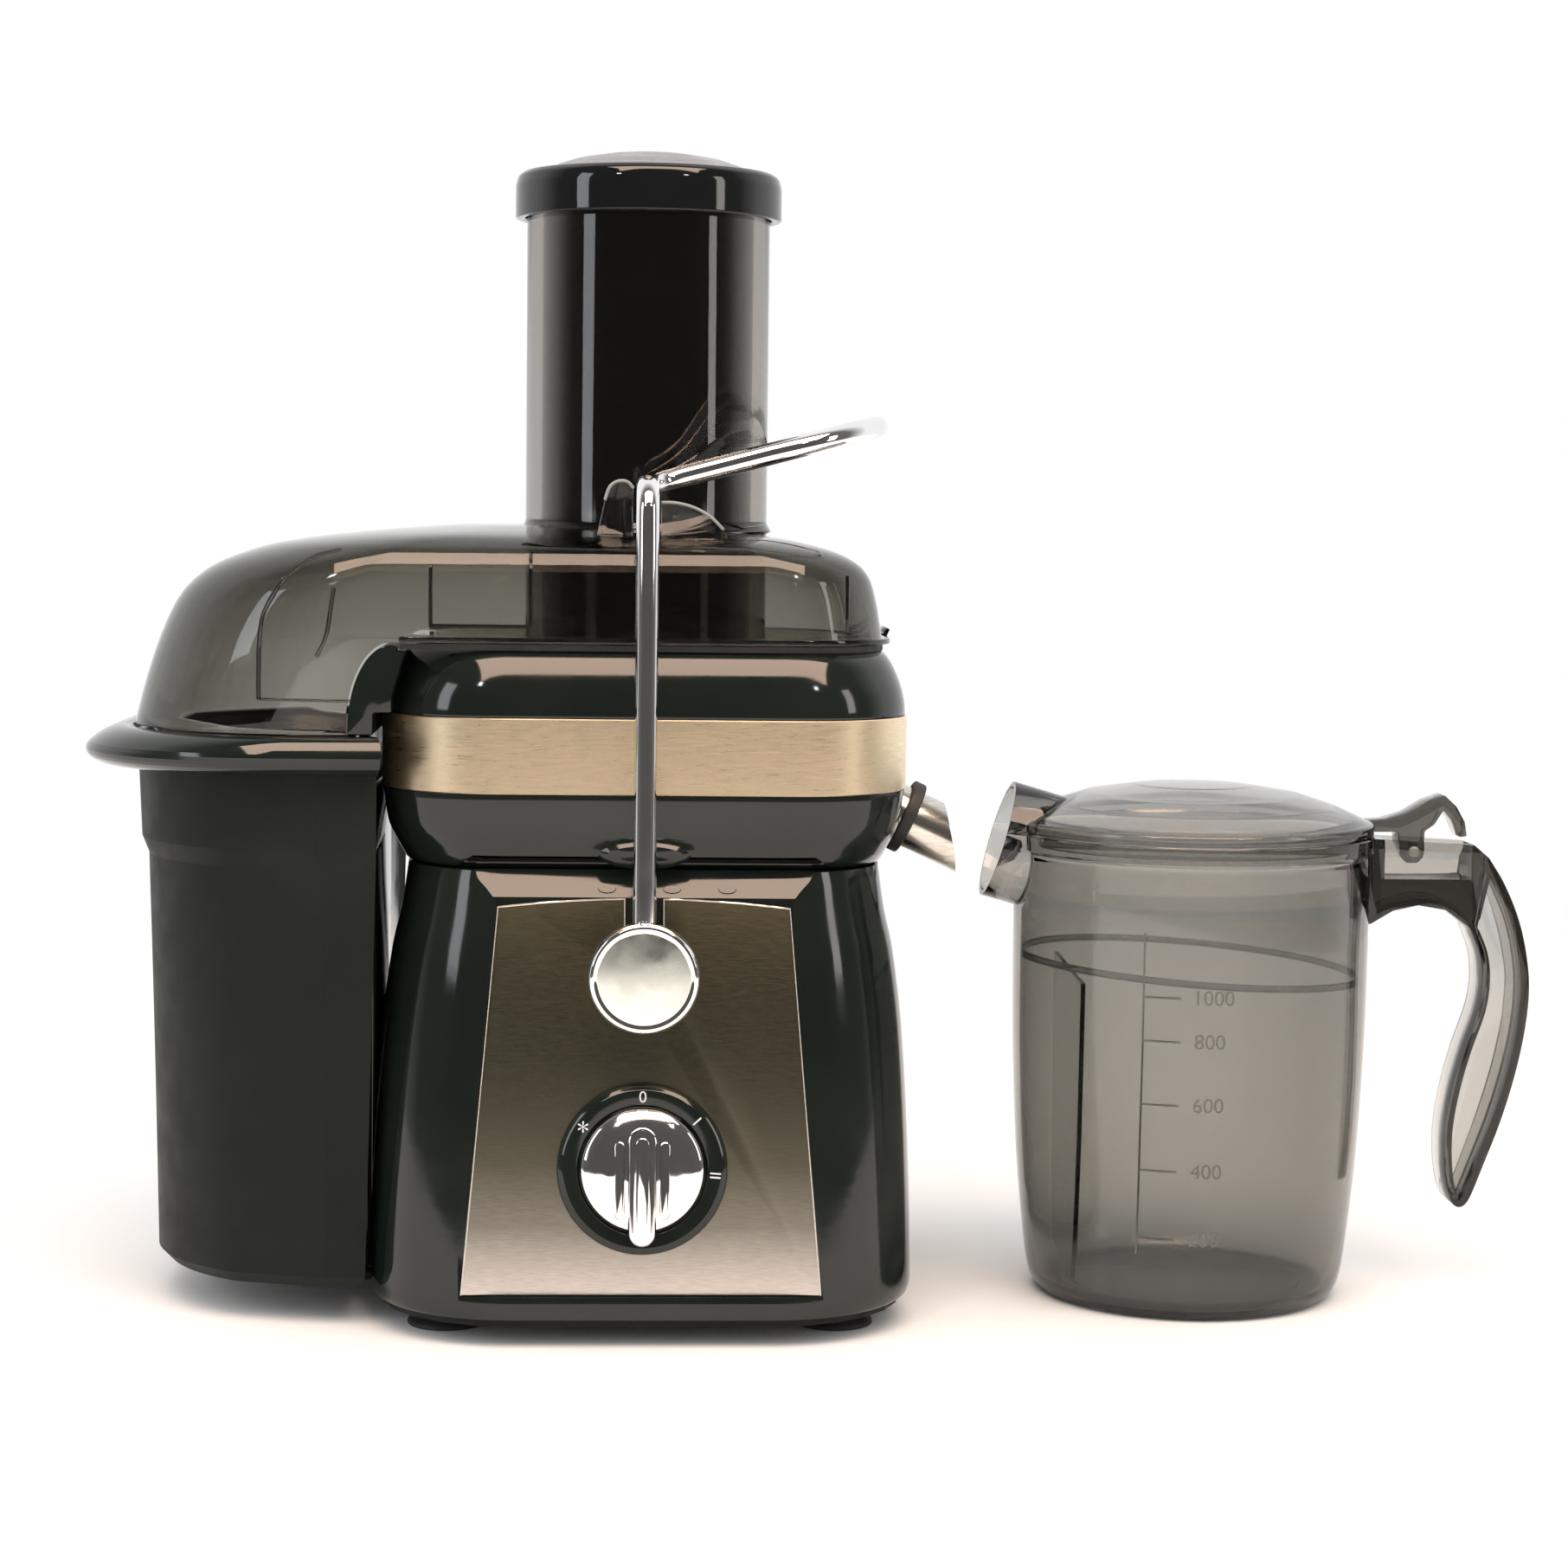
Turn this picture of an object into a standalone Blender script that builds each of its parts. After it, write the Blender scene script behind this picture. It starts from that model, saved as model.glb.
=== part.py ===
"""Centrifugal juicer: motor base, juice bowl, smoked lid with feed chute, pulp bin and juice jug.

Run with blender --background --python part.py, or from Blender's text editor. Lengths are metres, +Z is up and
the dial faces -Y. The origin is on the counter, under the middle of the whole set. Heights are measured from the
counter, and x and y from the drive axis, until an empty places the machine or the jug.
"""
import math

import bmesh
import bpy
from mathutils import Matrix, Vector

MM = 0.001
GAP = 0.3 * MM  # between pieces that rest on each other

# Where the machine and the jug stand
MACHINE_X = -60.9 * MM
MACHINE_Y = 0.75 * MM
JUG_X = 195 * MM
JUG_Y = -15 * MM
MATING_Y = JUG_Y  # the spout points straight at the jug's inlet

# Motor base
HOUSING_BOTTOM = 9.8 * MM
HOUSING_TOP = 157 * MM
HOUSING_DEPTH_TOP = 88 * MM
HOUSING_DEPTH_BOTTOM = 103.5 * MM
HOUSING_WALL = 3.5 * MM
HOUSING_FACE_WALL = 8 * MM
POCKET_DEPTH = 3.2 * MM
PANEL_THICK = 1.2 * MM
PANEL_LOW = 17.5 * MM
PANEL_HIGH = 145 * MM
PANEL_ARCH = 3 * MM
PANEL_HALF_LOW = 59.5 * MM
PANEL_HALF_HIGH = 48.5 * MM
NOTCH_HALF = 6.5 * MM
BASE_PLATE_BOTTOM = 6.8 * MM
FOOT_RADIUS = 13.5 * MM
FOOT_X = 66 * MM
FOOT_Y = 66 * MM

# Locking arm
PIVOT_Z = 125 * MM
ARM_Y = 104 * MM
ROD_RADIUS = 3.8 * MM
ARM_HEIGHT = 160 * MM
ARM_INSET_Y = 60 * MM
ARM_REACH = 80 * MM
ARM_SLOPE = math.radians(15)
HUB_RADIUS = 9 * MM
PIN_RADIUS = 4 * MM
CAP_RADIUS = 18.25 * MM

# Dial
KNOB_Z = 59.2 * MM
KNOB_RADIUS = 20.5 * MM
BEZEL_RADIUS = 28.5 * MM

# Motor
SHAFT_RADIUS = 4 * MM
BEARING_RADIUS = 9 * MM
POST_SPREAD = 40 * MM
POST_RADIUS = 3.5 * MM
BRACKET_HALF = 46 * MM
BRACKET_THICK = 7 * MM
BRACKET_LOW = 27 * MM
BRACKET_HIGH = 130 * MM
STATOR_BOTTOM = 62 * MM
STATOR_TOP = 102 * MM

# Bowl, basket and spout
BOWL_BOTTOM = HOUSING_TOP + GAP
BOWL_TOP = 229.7 * MM
BOWL_DEEPER = 2.5 * MM  # the bowl is this much deeper than wide, at each side
BAND_LOW = 183 * MM
BAND_HIGH = 208 * MM
BAND_HALF = 89.3 * MM
COLLAR_RADIUS = 15 * MM
SHOULDER_X = 84 * MM
SHOULDER_REACH = 14.6 * MM
SHOULDER_FOOT = 203 * MM
SHOULDER_RISE = 28.5 * MM
SPOUT_RADIUS = 10.25 * MM
SPOUT_WALL = 1 * MM
SPOUT_ANGLE = math.radians(25)
SPOUT_ROOT = Vector((89.5 * MM, MATING_Y, 170.9 * MM))
SPOUT_LENGTH = 25.4 * MM

# Lid, chute and pusher
LID_BASE = 232.3 * MM
LID_SKIRT = 201.4 * MM
LID_WALL = 2.2 * MM
CHUTE_RADIUS = 42.7 * MM
CHUTE_BORE = 37.8 * MM
CHUTE_BOTTOM = 197 * MM
CHUTE_TOP = 386 * MM
PUSHER_RADIUS = 37.1 * MM
PUSHER_WALL = 2.2 * MM
PUSHER_BOTTOM = 199 * MM
CAP_RIM_RADIUS = 46.8 * MM
CAP_RIM_BOTTOM = 378 * MM
CAP_TOP = 394.2 * MM
DOME_TOP = 401.5 * MM
FIN_Y = 66 * MM
FIN_THICK = 2 * MM

# Pulp bin
BIN_BOTTOM = 13 * MM
BIN_RIM_TOP = 201 * MM
BIN_WALL = 2.4 * MM

# Jug
JUG_WALL = 2.2 * MM
JUG_RIM = 165 * MM
JUG_RADIUS = 63 * MM
INLET_RADIUS = 21 * MM
INLET_BORE = 19.2 * MM
INLET_ANGLE = math.radians(16)
INLET_MOUTH = Vector((-69.5 * MM, 0, 162 * MM))
HANDLE_WIDTH = 19 * MM
HANDLE_RIM = 2.8 * MM
HANDLE_WEB = 3 * MM
HINGE_X = 78 * MM
HINGE_Z = 159 * MM
HINGE_PIN_RADIUS = 2 * MM

ROUND = 32
SMALL_ROUND = 20
CORNER_STEPS = 6


# ---------------------------------------------------------------- scene and materials

def clear_scene():
    for old in list(bpy.data.objects):
        bpy.data.objects.remove(old, do_unlink=True)


def make_collection(name):
    collection = bpy.data.collections.new(name)
    bpy.context.scene.collection.children.link(collection)
    return collection


def make_material(name, color, roughness, metallic=0.0, alpha=1.0):
    material = bpy.data.materials.new(name)
    material.use_nodes = True
    shader = material.node_tree.nodes["Principled BSDF"]
    shader.inputs["Base Color"].default_value = (*color, 1)
    shader.inputs["Roughness"].default_value = roughness
    shader.inputs["Metallic"].default_value = metallic
    shader.inputs["Alpha"].default_value = alpha
    return material


clear_scene()
PARTS = make_collection("centrifugal_juicer")
CUTTERS = make_collection("cutters")

GLOSS_BLACK = make_material("gloss_black", (0.012, 0.014, 0.013), 0.12)
SATIN_BLACK = make_material("satin_black", (0.02, 0.022, 0.02), 0.5)
SMOKED = make_material("smoked_clear", (0.25, 0.25, 0.23), 0.05, alpha=0.45)
STEEL = make_material("brushed_steel", (0.62, 0.58, 0.52), 0.3, 1.0)
CHROME = make_material("chrome", (0.9, 0.9, 0.9), 0.06, 1.0)
RUBBER = make_material("rubber", (0.02, 0.02, 0.02), 0.7)
COPPER = make_material("copper", (0.75, 0.38, 0.2), 0.35, 1.0)
BOARD = make_material("board", (0.05, 0.2, 0.08), 0.5)


def empty(name, location, parent=None, turn_x=0.0):
    holder = bpy.data.objects.new(name, None)
    holder.location = location
    holder.rotation_euler = (turn_x, 0, 0)
    holder.parent = parent
    holder.empty_display_size = 20 * MM
    PARTS.objects.link(holder)
    return holder


def place(name, mesh, parent, material=None, location=(0, 0, 0), turn=(0, 0, 0)):
    """Put a mesh in the scene: a part if it has a material, and a hidden cutter if not."""
    thing = bpy.data.objects.new(name, mesh)
    thing.parent = parent
    thing.location = location
    thing.rotation_euler = turn
    if material:
        mesh.materials.append(material)
        PARTS.objects.link(thing)
    else:
        CUTTERS.objects.link(thing)
        thing.hide_render = True
        thing.display_type = "WIRE"
    return thing


def combine(thing, tool, operation):
    modifier = thing.modifiers.new(operation.lower(), "BOOLEAN")
    modifier.operation = operation
    modifier.object = tool


def cut(thing, tool):
    combine(thing, tool, "DIFFERENCE")


def join(thing, tool):
    combine(thing, tool, "UNION")


# ---------------------------------------------------------------- shape makers

def box_mesh(name, low, high):
    shape = bmesh.new()
    bmesh.ops.create_cube(shape, size=1)
    low, high = Vector(low), Vector(high)
    size = high - low
    for vertex in shape.verts:
        vertex.co = Vector(tuple((vertex.co[i] + 0.5) * size[i] + low[i] for i in range(3)))
    return finish_mesh(shape, name)


def finish_mesh(shape, name):
    bmesh.ops.recalc_face_normals(shape, faces=shape.faces)
    mesh = bpy.data.meshes.new(name)
    shape.to_mesh(mesh)
    shape.free()
    return mesh


def rounded_ring(z, x_low, x_high, y_half, r_low, r_high, steps=CORNER_STEPS):
    """A rounded rectangle at height z, with one radius at its low-x corners and one at its high-x corners."""
    corners = (
        (x_high - r_high, -y_half + r_high, r_high, -90),
        (x_high - r_high, y_half - r_high, r_high, 0),
        (x_low + r_low, y_half - r_low, r_low, 90),
        (x_low + r_low, -y_half + r_low, r_low, 180),
    )
    ring = []
    for x, y, radius, start in corners:
        for i in range(steps + 1):
            angle = math.radians(start + 90 * i / steps)
            ring.append((x + radius * math.cos(angle), y + radius * math.sin(angle), z))
    return ring


def square_ring(z, half_x, half_y, radius, steps=CORNER_STEPS):
    return rounded_ring(z, -half_x, half_x, half_y, radius, radius, steps)


def loft_mesh(name, rings, closed=False):
    """Join a chain of rings that have equally many points, and cap both ends unless the chain is a loop."""
    shape = bmesh.new()
    rows = [[shape.verts.new(point) for point in ring] for ring in rings]
    pairs = list(zip(rows, rows[1:]))
    if closed:
        pairs.append((rows[-1], rows[0]))
    for lower, upper in pairs:
        count = len(lower)
        for i in range(count):
            shape.faces.new((lower[i], lower[(i + 1) % count], upper[(i + 1) % count], upper[i]))
    if not closed:
        shape.faces.new(rows[0])
        shape.faces.new(rows[-1])
    return finish_mesh(shape, name)


def plate_mesh(name, outlines, low, high):
    """A flat outline, with later outlines as its holes, extruded from low to high along Z."""
    curve = bpy.data.curves.new(name, "CURVE")
    curve.dimensions = "2D"
    curve.fill_mode = "BOTH"
    curve.extrude = (high - low) / 2
    for outline in outlines:
        spline = curve.splines.new("POLY")
        spline.points.add(len(outline) - 1)
        for point, (x, y) in zip(spline.points, outline):
            point.co = (x, y, 0, 1)
        spline.use_cyclic_u = True
    flat = bpy.data.objects.new(name, curve)
    bpy.context.scene.collection.objects.link(flat)
    mesh = solid_from(flat)
    mesh.transform(Matrix.Translation((0, 0, (high + low) / 2)))
    return mesh


def solid_from(curve_object):
    """The closed mesh of a filled curve, whose caps are welded on; the curve itself is removed."""
    bpy.context.view_layer.update()
    graph = bpy.context.evaluated_depsgraph_get()
    mesh = bpy.data.meshes.new_from_object(curve_object.evaluated_get(graph))
    shape = bmesh.new()
    shape.from_mesh(mesh)
    bmesh.ops.remove_doubles(shape, verts=shape.verts, dist=1e-6)
    bmesh.ops.recalc_face_normals(shape, faces=shape.faces)
    shape.to_mesh(mesh)
    shape.free()
    mesh.materials.clear()
    bpy.data.objects.remove(curve_object, do_unlink=True)
    return mesh


def rod_mesh(name, points, radius):
    """A round rod along a polyline."""
    curve = bpy.data.curves.new(name, "CURVE")
    curve.dimensions = "3D"
    curve.bevel_depth = radius
    curve.bevel_resolution = 3
    curve.use_fill_caps = True
    spline = curve.splines.new("POLY")
    spline.points.add(len(points) - 1)
    for point, position in zip(spline.points, points):
        point.co = (*position, 1)
    rod = bpy.data.objects.new(name, curve)
    bpy.context.scene.collection.objects.link(rod)
    return solid_from(rod)


def turned_mesh(name, profile, steps=ROUND, closed=False):
    """Turn a profile of (radius, height) about Z. The profile runs down its outer side."""
    mesh = bpy.data.meshes.new(name + "_profile")
    edges = [(i, i + 1) for i in range(len(profile) - 1)]
    if closed:
        edges.append((len(profile) - 1, 0))
    mesh.from_pydata([(radius, 0, height) for radius, height in profile], edges, [])
    turned = bpy.data.objects.new(name, mesh)
    bpy.context.scene.collection.objects.link(turned)
    screw = turned.modifiers.new("turn", "SCREW")
    screw.steps = steps
    screw.render_steps = steps
    screw.use_merge_vertices = True
    screw.merge_threshold = 1e-6
    screw.use_smooth_shade = True
    return solid_from(turned)


def cylinder_mesh(name, radius, low, high, steps=SMALL_ROUND):
    return turned_mesh(name, [(0, high), (radius, high), (radius, low), (0, low)], steps)


def tube_mesh(name, inner, outer, low, high, steps=SMALL_ROUND):
    return turned_mesh(name, [(inner, high), (outer, high), (outer, low), (inner, low)], steps, closed=True)


def arc(x, y, radius, start, end, steps):
    """Points along an arc, in degrees, both ends included."""
    points = []
    for i in range(steps + 1):
        angle = math.radians(start + (end - start) * i / steps)
        points.append((x + radius * math.cos(angle), y + radius * math.sin(angle)))
    return points


def circle(x, y, radius, steps=SMALL_ROUND):
    return arc(x, y, radius, 0, 360, steps)[:-1]


def smooth_sharp(thing, degrees=35):
    thing.data.shade_smooth()
    thing.data.set_sharp_from_angle(angle=math.radians(degrees))


# ---------------------------------------------------------------- motor base

HOUSING_SHAPE = (  # height, half width, corner radius
    (9.8 * MM, 92 * MM, 48 * MM),
    (15 * MM, 93 * MM, 48 * MM),
    (62 * MM, 91.8 * MM, 47 * MM),
    (102 * MM, 89.3 * MM, 45 * MM),
    (128 * MM, 85.8 * MM, 43 * MM),
    (142 * MM, 82.6 * MM, 41 * MM),
    (157 * MM, 80.4 * MM, 40 * MM),
)
FACE_TILT = math.atan2(HOUSING_DEPTH_BOTTOM - HOUSING_DEPTH_TOP, HOUSING_TOP - HOUSING_BOTTOM)
FACE_TURN = math.pi / 2 - FACE_TILT
TO_FRONT = math.pi / 2  # turns local +Z to -Y


def face_depth(z):
    """How far the housing's front and back stand from the axis at a height."""
    slope = (HOUSING_DEPTH_BOTTOM - HOUSING_DEPTH_TOP) / (HOUSING_TOP - HOUSING_BOTTOM)
    return HOUSING_DEPTH_TOP + slope * (HOUSING_TOP - z)


def motor_housing(machine, face, knob_axis, gland_axis):
    outer = [square_ring(z, half, face_depth(z), radius) for z, half, radius in HOUSING_SHAPE]
    inner = []
    for z, half, radius in HOUSING_SHAPE:
        level = min(z, HOUSING_TOP - 4 * MM)
        depth = face_depth(level) - HOUSING_FACE_WALL
        inner.append(square_ring(level, half - HOUSING_WALL, depth, radius - HOUSING_FACE_WALL))
    housing = place("motor_housing", loft_mesh("motor_housing", inner[::-1] + outer), machine, GLOSS_BLACK)
    pocket = place("panel_pocket", plate_mesh("panel_pocket", [pocket_outline()], 0, 12 * MM), face)
    cut(housing, pocket)
    pivot_hole = cylinder_mesh("pivot_hole", PIN_RADIUS + GAP, -120 * MM, 120 * MM)
    cut(housing, place("pivot_hole", pivot_hole, machine, location=(0, 0, PIVOT_Z), turn=(TO_FRONT, 0, 0)))
    dial_hole = cylinder_mesh("dial_hole", 3.6 * MM, -30 * MM, 30 * MM)
    cut(housing, place("dial_hole", dial_hole, knob_axis))
    gland_hole = cylinder_mesh("gland_hole", 7 * MM, -20 * MM, 10 * MM)
    cut(housing, place("gland_hole", gland_hole, gland_axis))
    shaft_hole = cylinder_mesh("shaft_hole", COLLAR_RADIUS - 3 * MM, 145 * MM, 165 * MM)
    cut(housing, place("shaft_hole", shaft_hole, machine))
    return housing


def pocket_outline():
    margin = 0.4 * MM
    side = [
        (PANEL_HALF_LOW + margin, slope_height(PANEL_LOW) - margin),
        (PANEL_HALF_HIGH + margin, slope_height(PANEL_HIGH)),
        (PANEL_HALF_HIGH + 2 * MM, slope_height(PANEL_HIGH) + 3 * MM),
        (PANEL_HALF_HIGH + 7 * MM, slope_height(HOUSING_TOP) + 1 * MM),
        (PANEL_HALF_HIGH + 7 * MM, slope_height(HOUSING_TOP) + 10 * MM),
    ]
    return side + [(-x, y) for x, y in reversed(side)]


FACE_Z = 82 * MM


def slope_height(z):
    """A height as a distance up the inclined front face, from the face's own origin."""
    return (z - FACE_Z) / math.cos(FACE_TILT)


def front_panel(face):
    """A trapezoid with an arched top, which a notch opens for the arm's pin."""
    low = slope_height(PANEL_LOW)
    high = slope_height(PANEL_HIGH)
    top = []
    steps = 6
    for i in range(steps + 1):
        x = PANEL_HALF_HIGH + (NOTCH_HALF - PANEL_HALF_HIGH) * i / steps
        top.append((x, high + PANEL_ARCH * (1 - (x / PANEL_HALF_HIGH) ** 2)))
    notch = arc(0, slope_height(PIVOT_Z), NOTCH_HALF, 0, -180, 10)
    outline = [(-PANEL_HALF_LOW, low), (PANEL_HALF_LOW, low)] + top + notch
    outline += [(-x, y) for x, y in reversed(top)]
    mesh = plate_mesh("front_panel", [outline], GAP, GAP + PANEL_THICK)
    return place("front_panel", mesh, face, STEEL)


def base_plate(machine):
    """The floor of the base, with cooling slots and a ledge that carries the bin."""
    edge = 89 * MM
    outline = [(x, y) for x, y, _ in square_ring(0, edge, 100 * MM, 46 * MM)]
    tongue = [(-edge, 34 * MM), (-138 * MM, 34 * MM), (-138 * MM, -34 * MM), (-edge, -34 * MM)]
    before = 3 * (CORNER_STEPS + 1)
    outline = outline[:before] + tongue + outline[before:]
    holes = []
    for x in (-1, 1):
        for y in (-1, 1):
            holes.append(circle(x * POST_SPREAD, y * POST_SPREAD, 2.2 * MM, 12))
    for i in range(-2, 3):
        reach = (20 - 3 * abs(i)) * MM
        holes.append(arc(i * 10 * MM, reach, 2 * MM, 0, 180, 6) + arc(i * 10 * MM, -reach, 2 * MM, 180, 360, 6))
    top = HOUSING_BOTTOM - GAP
    plate = place("base_plate", plate_mesh("base_plate", [outline] + holes, BASE_PLATE_BOTTOM, top),
                  machine, SATIN_BLACK)
    pad = box_mesh("pad", (-137 * MM, -33 * MM, 8 * MM), (-99 * MM, 33 * MM, BIN_BOTTOM - GAP))
    join(plate, place("pad", pad, machine))
    return plate


def feet(machine):
    """Four suction cups, hollow underneath."""
    top = BASE_PLATE_BOTTOM - GAP
    profile = [
        (0, top), (5 * MM, top), (6 * MM, 5 * MM), (10 * MM, 4 * MM), (13.4 * MM, 1.4 * MM),
        (FOOT_RADIUS, 0), (11.5 * MM, 0), (8 * MM, 1.8 * MM), (0, 2.4 * MM),
    ]
    mesh = turned_mesh("foot", profile, 24)
    mesh.materials.append(RUBBER)
    for side, x in (("left", -FOOT_X), ("right", FOOT_X)):
        for end, y in (("front", -FOOT_Y), ("rear", FOOT_Y)):
            foot = bpy.data.objects.new(f"foot_{end}_{side}", mesh)
            foot.parent = machine
            foot.location = (x, y, 0)
            PARTS.objects.link(foot)


def cord_gland(gland_axis):
    """A bobbin-shaped grommet in the back wall, where the mains lead goes in."""
    inside = -HOUSING_FACE_WALL - 2.6 * MM
    profile = [
        (4.6 * MM, 2.4 * MM), (8 * MM, 2.4 * MM), (9 * MM, 1.6 * MM), (9 * MM, GAP), (6.7 * MM, GAP),
        (6.7 * MM, -HOUSING_FACE_WALL - GAP), (9 * MM, -HOUSING_FACE_WALL - GAP), (9 * MM, inside),
        (4.6 * MM, inside),
    ]
    place("cord_gland", turned_mesh("cord_gland", profile, SMALL_ROUND, closed=True), gland_axis, RUBBER)


# ---------------------------------------------------------------- motor and controls

def square_outline(half):
    return [(-half, -half), (half, -half), (half, half), (-half, half)]


def motor(machine):
    """Shaft, rotor, fan and bearings on the axis, between two brackets on four posts."""
    posts = [(x * POST_SPREAD, y * POST_SPREAD) for x in (-1, 1) for y in (-1, 1)]
    for name, low in (("motor_bracket_lower", BRACKET_LOW), ("motor_bracket_upper", BRACKET_HIGH)):
        holes = [circle(0, 0, BEARING_RADIUS + GAP, 24)]
        holes += [circle(x, y, POST_RADIUS + GAP, 12) for x, y in posts]
        mesh = plate_mesh(name, [square_outline(BRACKET_HALF)] + holes, low, low + BRACKET_THICK)
        place(name, mesh, machine, STEEL)
    for name, low in (("bearing_lower", BRACKET_LOW), ("bearing_upper", BRACKET_HIGH)):
        mesh = tube_mesh(name, SHAFT_RADIUS + GAP, BEARING_RADIUS, low, low + BRACKET_THICK, 24)
        place(name, mesh, machine, CHROME)
    stator_mesh = plate_mesh("stator", [square_outline(35 * MM), circle(0, 0, 21.6 * MM, 24)],
                             STATOR_BOTTOM, STATOR_TOP)
    place("stator", stator_mesh, machine, COPPER)
    post_top = BRACKET_HIGH + BRACKET_THICK + 2 * MM
    bore_top = HOUSING_BOTTOM + 9 * MM
    profile = [
        (0, post_top), (POST_RADIUS, post_top), (POST_RADIUS, HOUSING_BOTTOM), (2.1 * MM, HOUSING_BOTTOM),
        (2.1 * MM, bore_top), (0, bore_top),
    ]
    screw_profile = [
        (0, bore_top - GAP), (1.8 * MM, bore_top - GAP), (1.8 * MM, BASE_PLATE_BOTTOM - GAP),
        (3.6 * MM, BASE_PLATE_BOTTOM - GAP), (3.6 * MM, 4.5 * MM), (0, 4.5 * MM),
    ]
    for i, (x, y) in enumerate(posts, 1):
        place(f"motor_post_{i}", turned_mesh("motor_post", profile, 12), machine, STEEL, (x, y, 0))
        place(f"base_screw_{i}", turned_mesh("base_screw", screw_profile, 12), machine, STEEL, (x, y, 0))
    place("motor_shaft", cylinder_mesh("motor_shaft", SHAFT_RADIUS, 24 * MM, 184 * MM, 16), machine, STEEL)
    rotor_bore = SHAFT_RADIUS + GAP
    rotor = tube_mesh("rotor_core", rotor_bore, 20.6 * MM, STATOR_BOTTOM - 2 * MM, STATOR_TOP + 2 * MM, 24)
    place("rotor_core", rotor, machine, COPPER)
    place("commutator", tube_mesh("commutator", rotor_bore, 11 * MM, 108 * MM, 124 * MM, 24), machine, COPPER)
    for name, x in (("carbon_brush_left", -18 * MM), ("carbon_brush_right", 18 * MM)):
        brush = box_mesh(name, (-6.7 * MM, -3 * MM, 112 * MM), (6.7 * MM, 3 * MM, 120 * MM))
        place(name, brush, machine, SATIN_BLACK, (x, 0, 0))
    place("cooling_fan", cooling_fan_mesh(rotor_bore), machine, SATIN_BLACK)


def cooling_fan_mesh(bore, blades=8):
    """A hub with flat radial blades, as one outline."""
    outline = []
    hub = 10 * MM
    tip = 34 * MM
    half = 1.6 * MM
    for i in range(blades):
        turn = Matrix.Rotation(2 * math.pi * i / blades, 2)
        root = math.sqrt(hub ** 2 - half ** 2)
        for point in ((root, -half), (tip, -half - 3 * MM), (tip, half - 3 * MM), (root, half)):
            outline.append(tuple(turn @ Vector(point)))
    return plate_mesh("cooling_fan", [outline, circle(0, 0, bore, 16)], 42 * MM, 54 * MM)


def controls(machine, knob_axis):
    switch = box_mesh("rotary_switch", (-14 * MM, -13 * MM, -40 * MM), (14 * MM, 13 * MM, -17.3 * MM))
    place("rotary_switch", switch, knob_axis, SATIN_BLACK)
    place("knob_shaft", cylinder_mesh("knob_shaft", 3 * MM, -17 * MM, 2.8 * MM, 16), knob_axis, STEEL)
    board = box_mesh("control_board", (70 * MM, -35 * MM, 30 * MM), (72 * MM, 35 * MM, 80 * MM))
    place("control_board", board, machine, BOARD)
    front = -face_depth(PIVOT_Z) + HOUSING_FACE_WALL + 2 * MM
    safety = box_mesh("safety_switch", (9 * MM, front, 118 * MM), (29 * MM, front + 11 * MM, 128 * MM))
    place("safety_switch", safety, machine, SATIN_BLACK)


def dial(knob_axis):
    """The black ring on the panel and the chromed knob with its bar grip."""
    bezel = [
        (3.6 * MM, 2.8 * MM), (21.2 * MM, 2.8 * MM), (21.6 * MM, 4.3 * MM), (26.6 * MM, 4.3 * MM),
        (28.1 * MM, 3.2 * MM), (BEZEL_RADIUS, GAP), (3.6 * MM, GAP),
    ]
    place("knob_bezel", turned_mesh("knob_bezel", bezel, ROUND, closed=True), knob_axis, GLOSS_BLACK)
    disc = [
        (0, 8.6 * MM), (9 * MM, 8.2 * MM), (16 * MM, 7.2 * MM), (19.6 * MM, 5.8 * MM), (KNOB_RADIUS, 4.4 * MM),
        (KNOB_RADIUS, 3.1 * MM), (0, 3.1 * MM),
    ]
    knob = place("speed_knob", turned_mesh("speed_knob", disc, ROUND), knob_axis, CHROME)
    half = 4.6 * MM
    outline = arc(0, 9.9 * MM, half, 0, 180, 8) + arc(0, -19.5 * MM, half, 180, 360, 8)
    grip = plate_mesh("grip", [outline], 5 * MM, 16 * MM)
    join(knob, place("grip", grip, knob_axis))


# ---------------------------------------------------------------- locking arm

def arm_points():
    """The rod's centre line from the front hub, over the lid and round the chute, to the rear hub."""
    corner = 11 * MM
    turn = 12 * MM
    bend = 40 * MM
    front = [(0, -ARM_Y, 6.5 * MM), (0, -ARM_Y, 60 * MM), (0, -ARM_Y, ARM_HEIGHT - corner)]
    for y, z in arc(-ARM_Y + corner, ARM_HEIGHT - corner, corner, 180, 90, 6)[1:]:
        front.append((0, y, z))
    plan = arc(turn, -ARM_INSET_Y - turn, turn, 180, 90, 6)
    plan += arc(ARM_REACH - bend, -ARM_INSET_Y + bend, bend, -90, 0, 8)
    for x, y in plan:
        front.append((x, y, ARM_HEIGHT + x * math.tan(ARM_SLOPE)))
    return front + [(x, -y, z) for x, y, z in reversed(front)]


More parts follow.
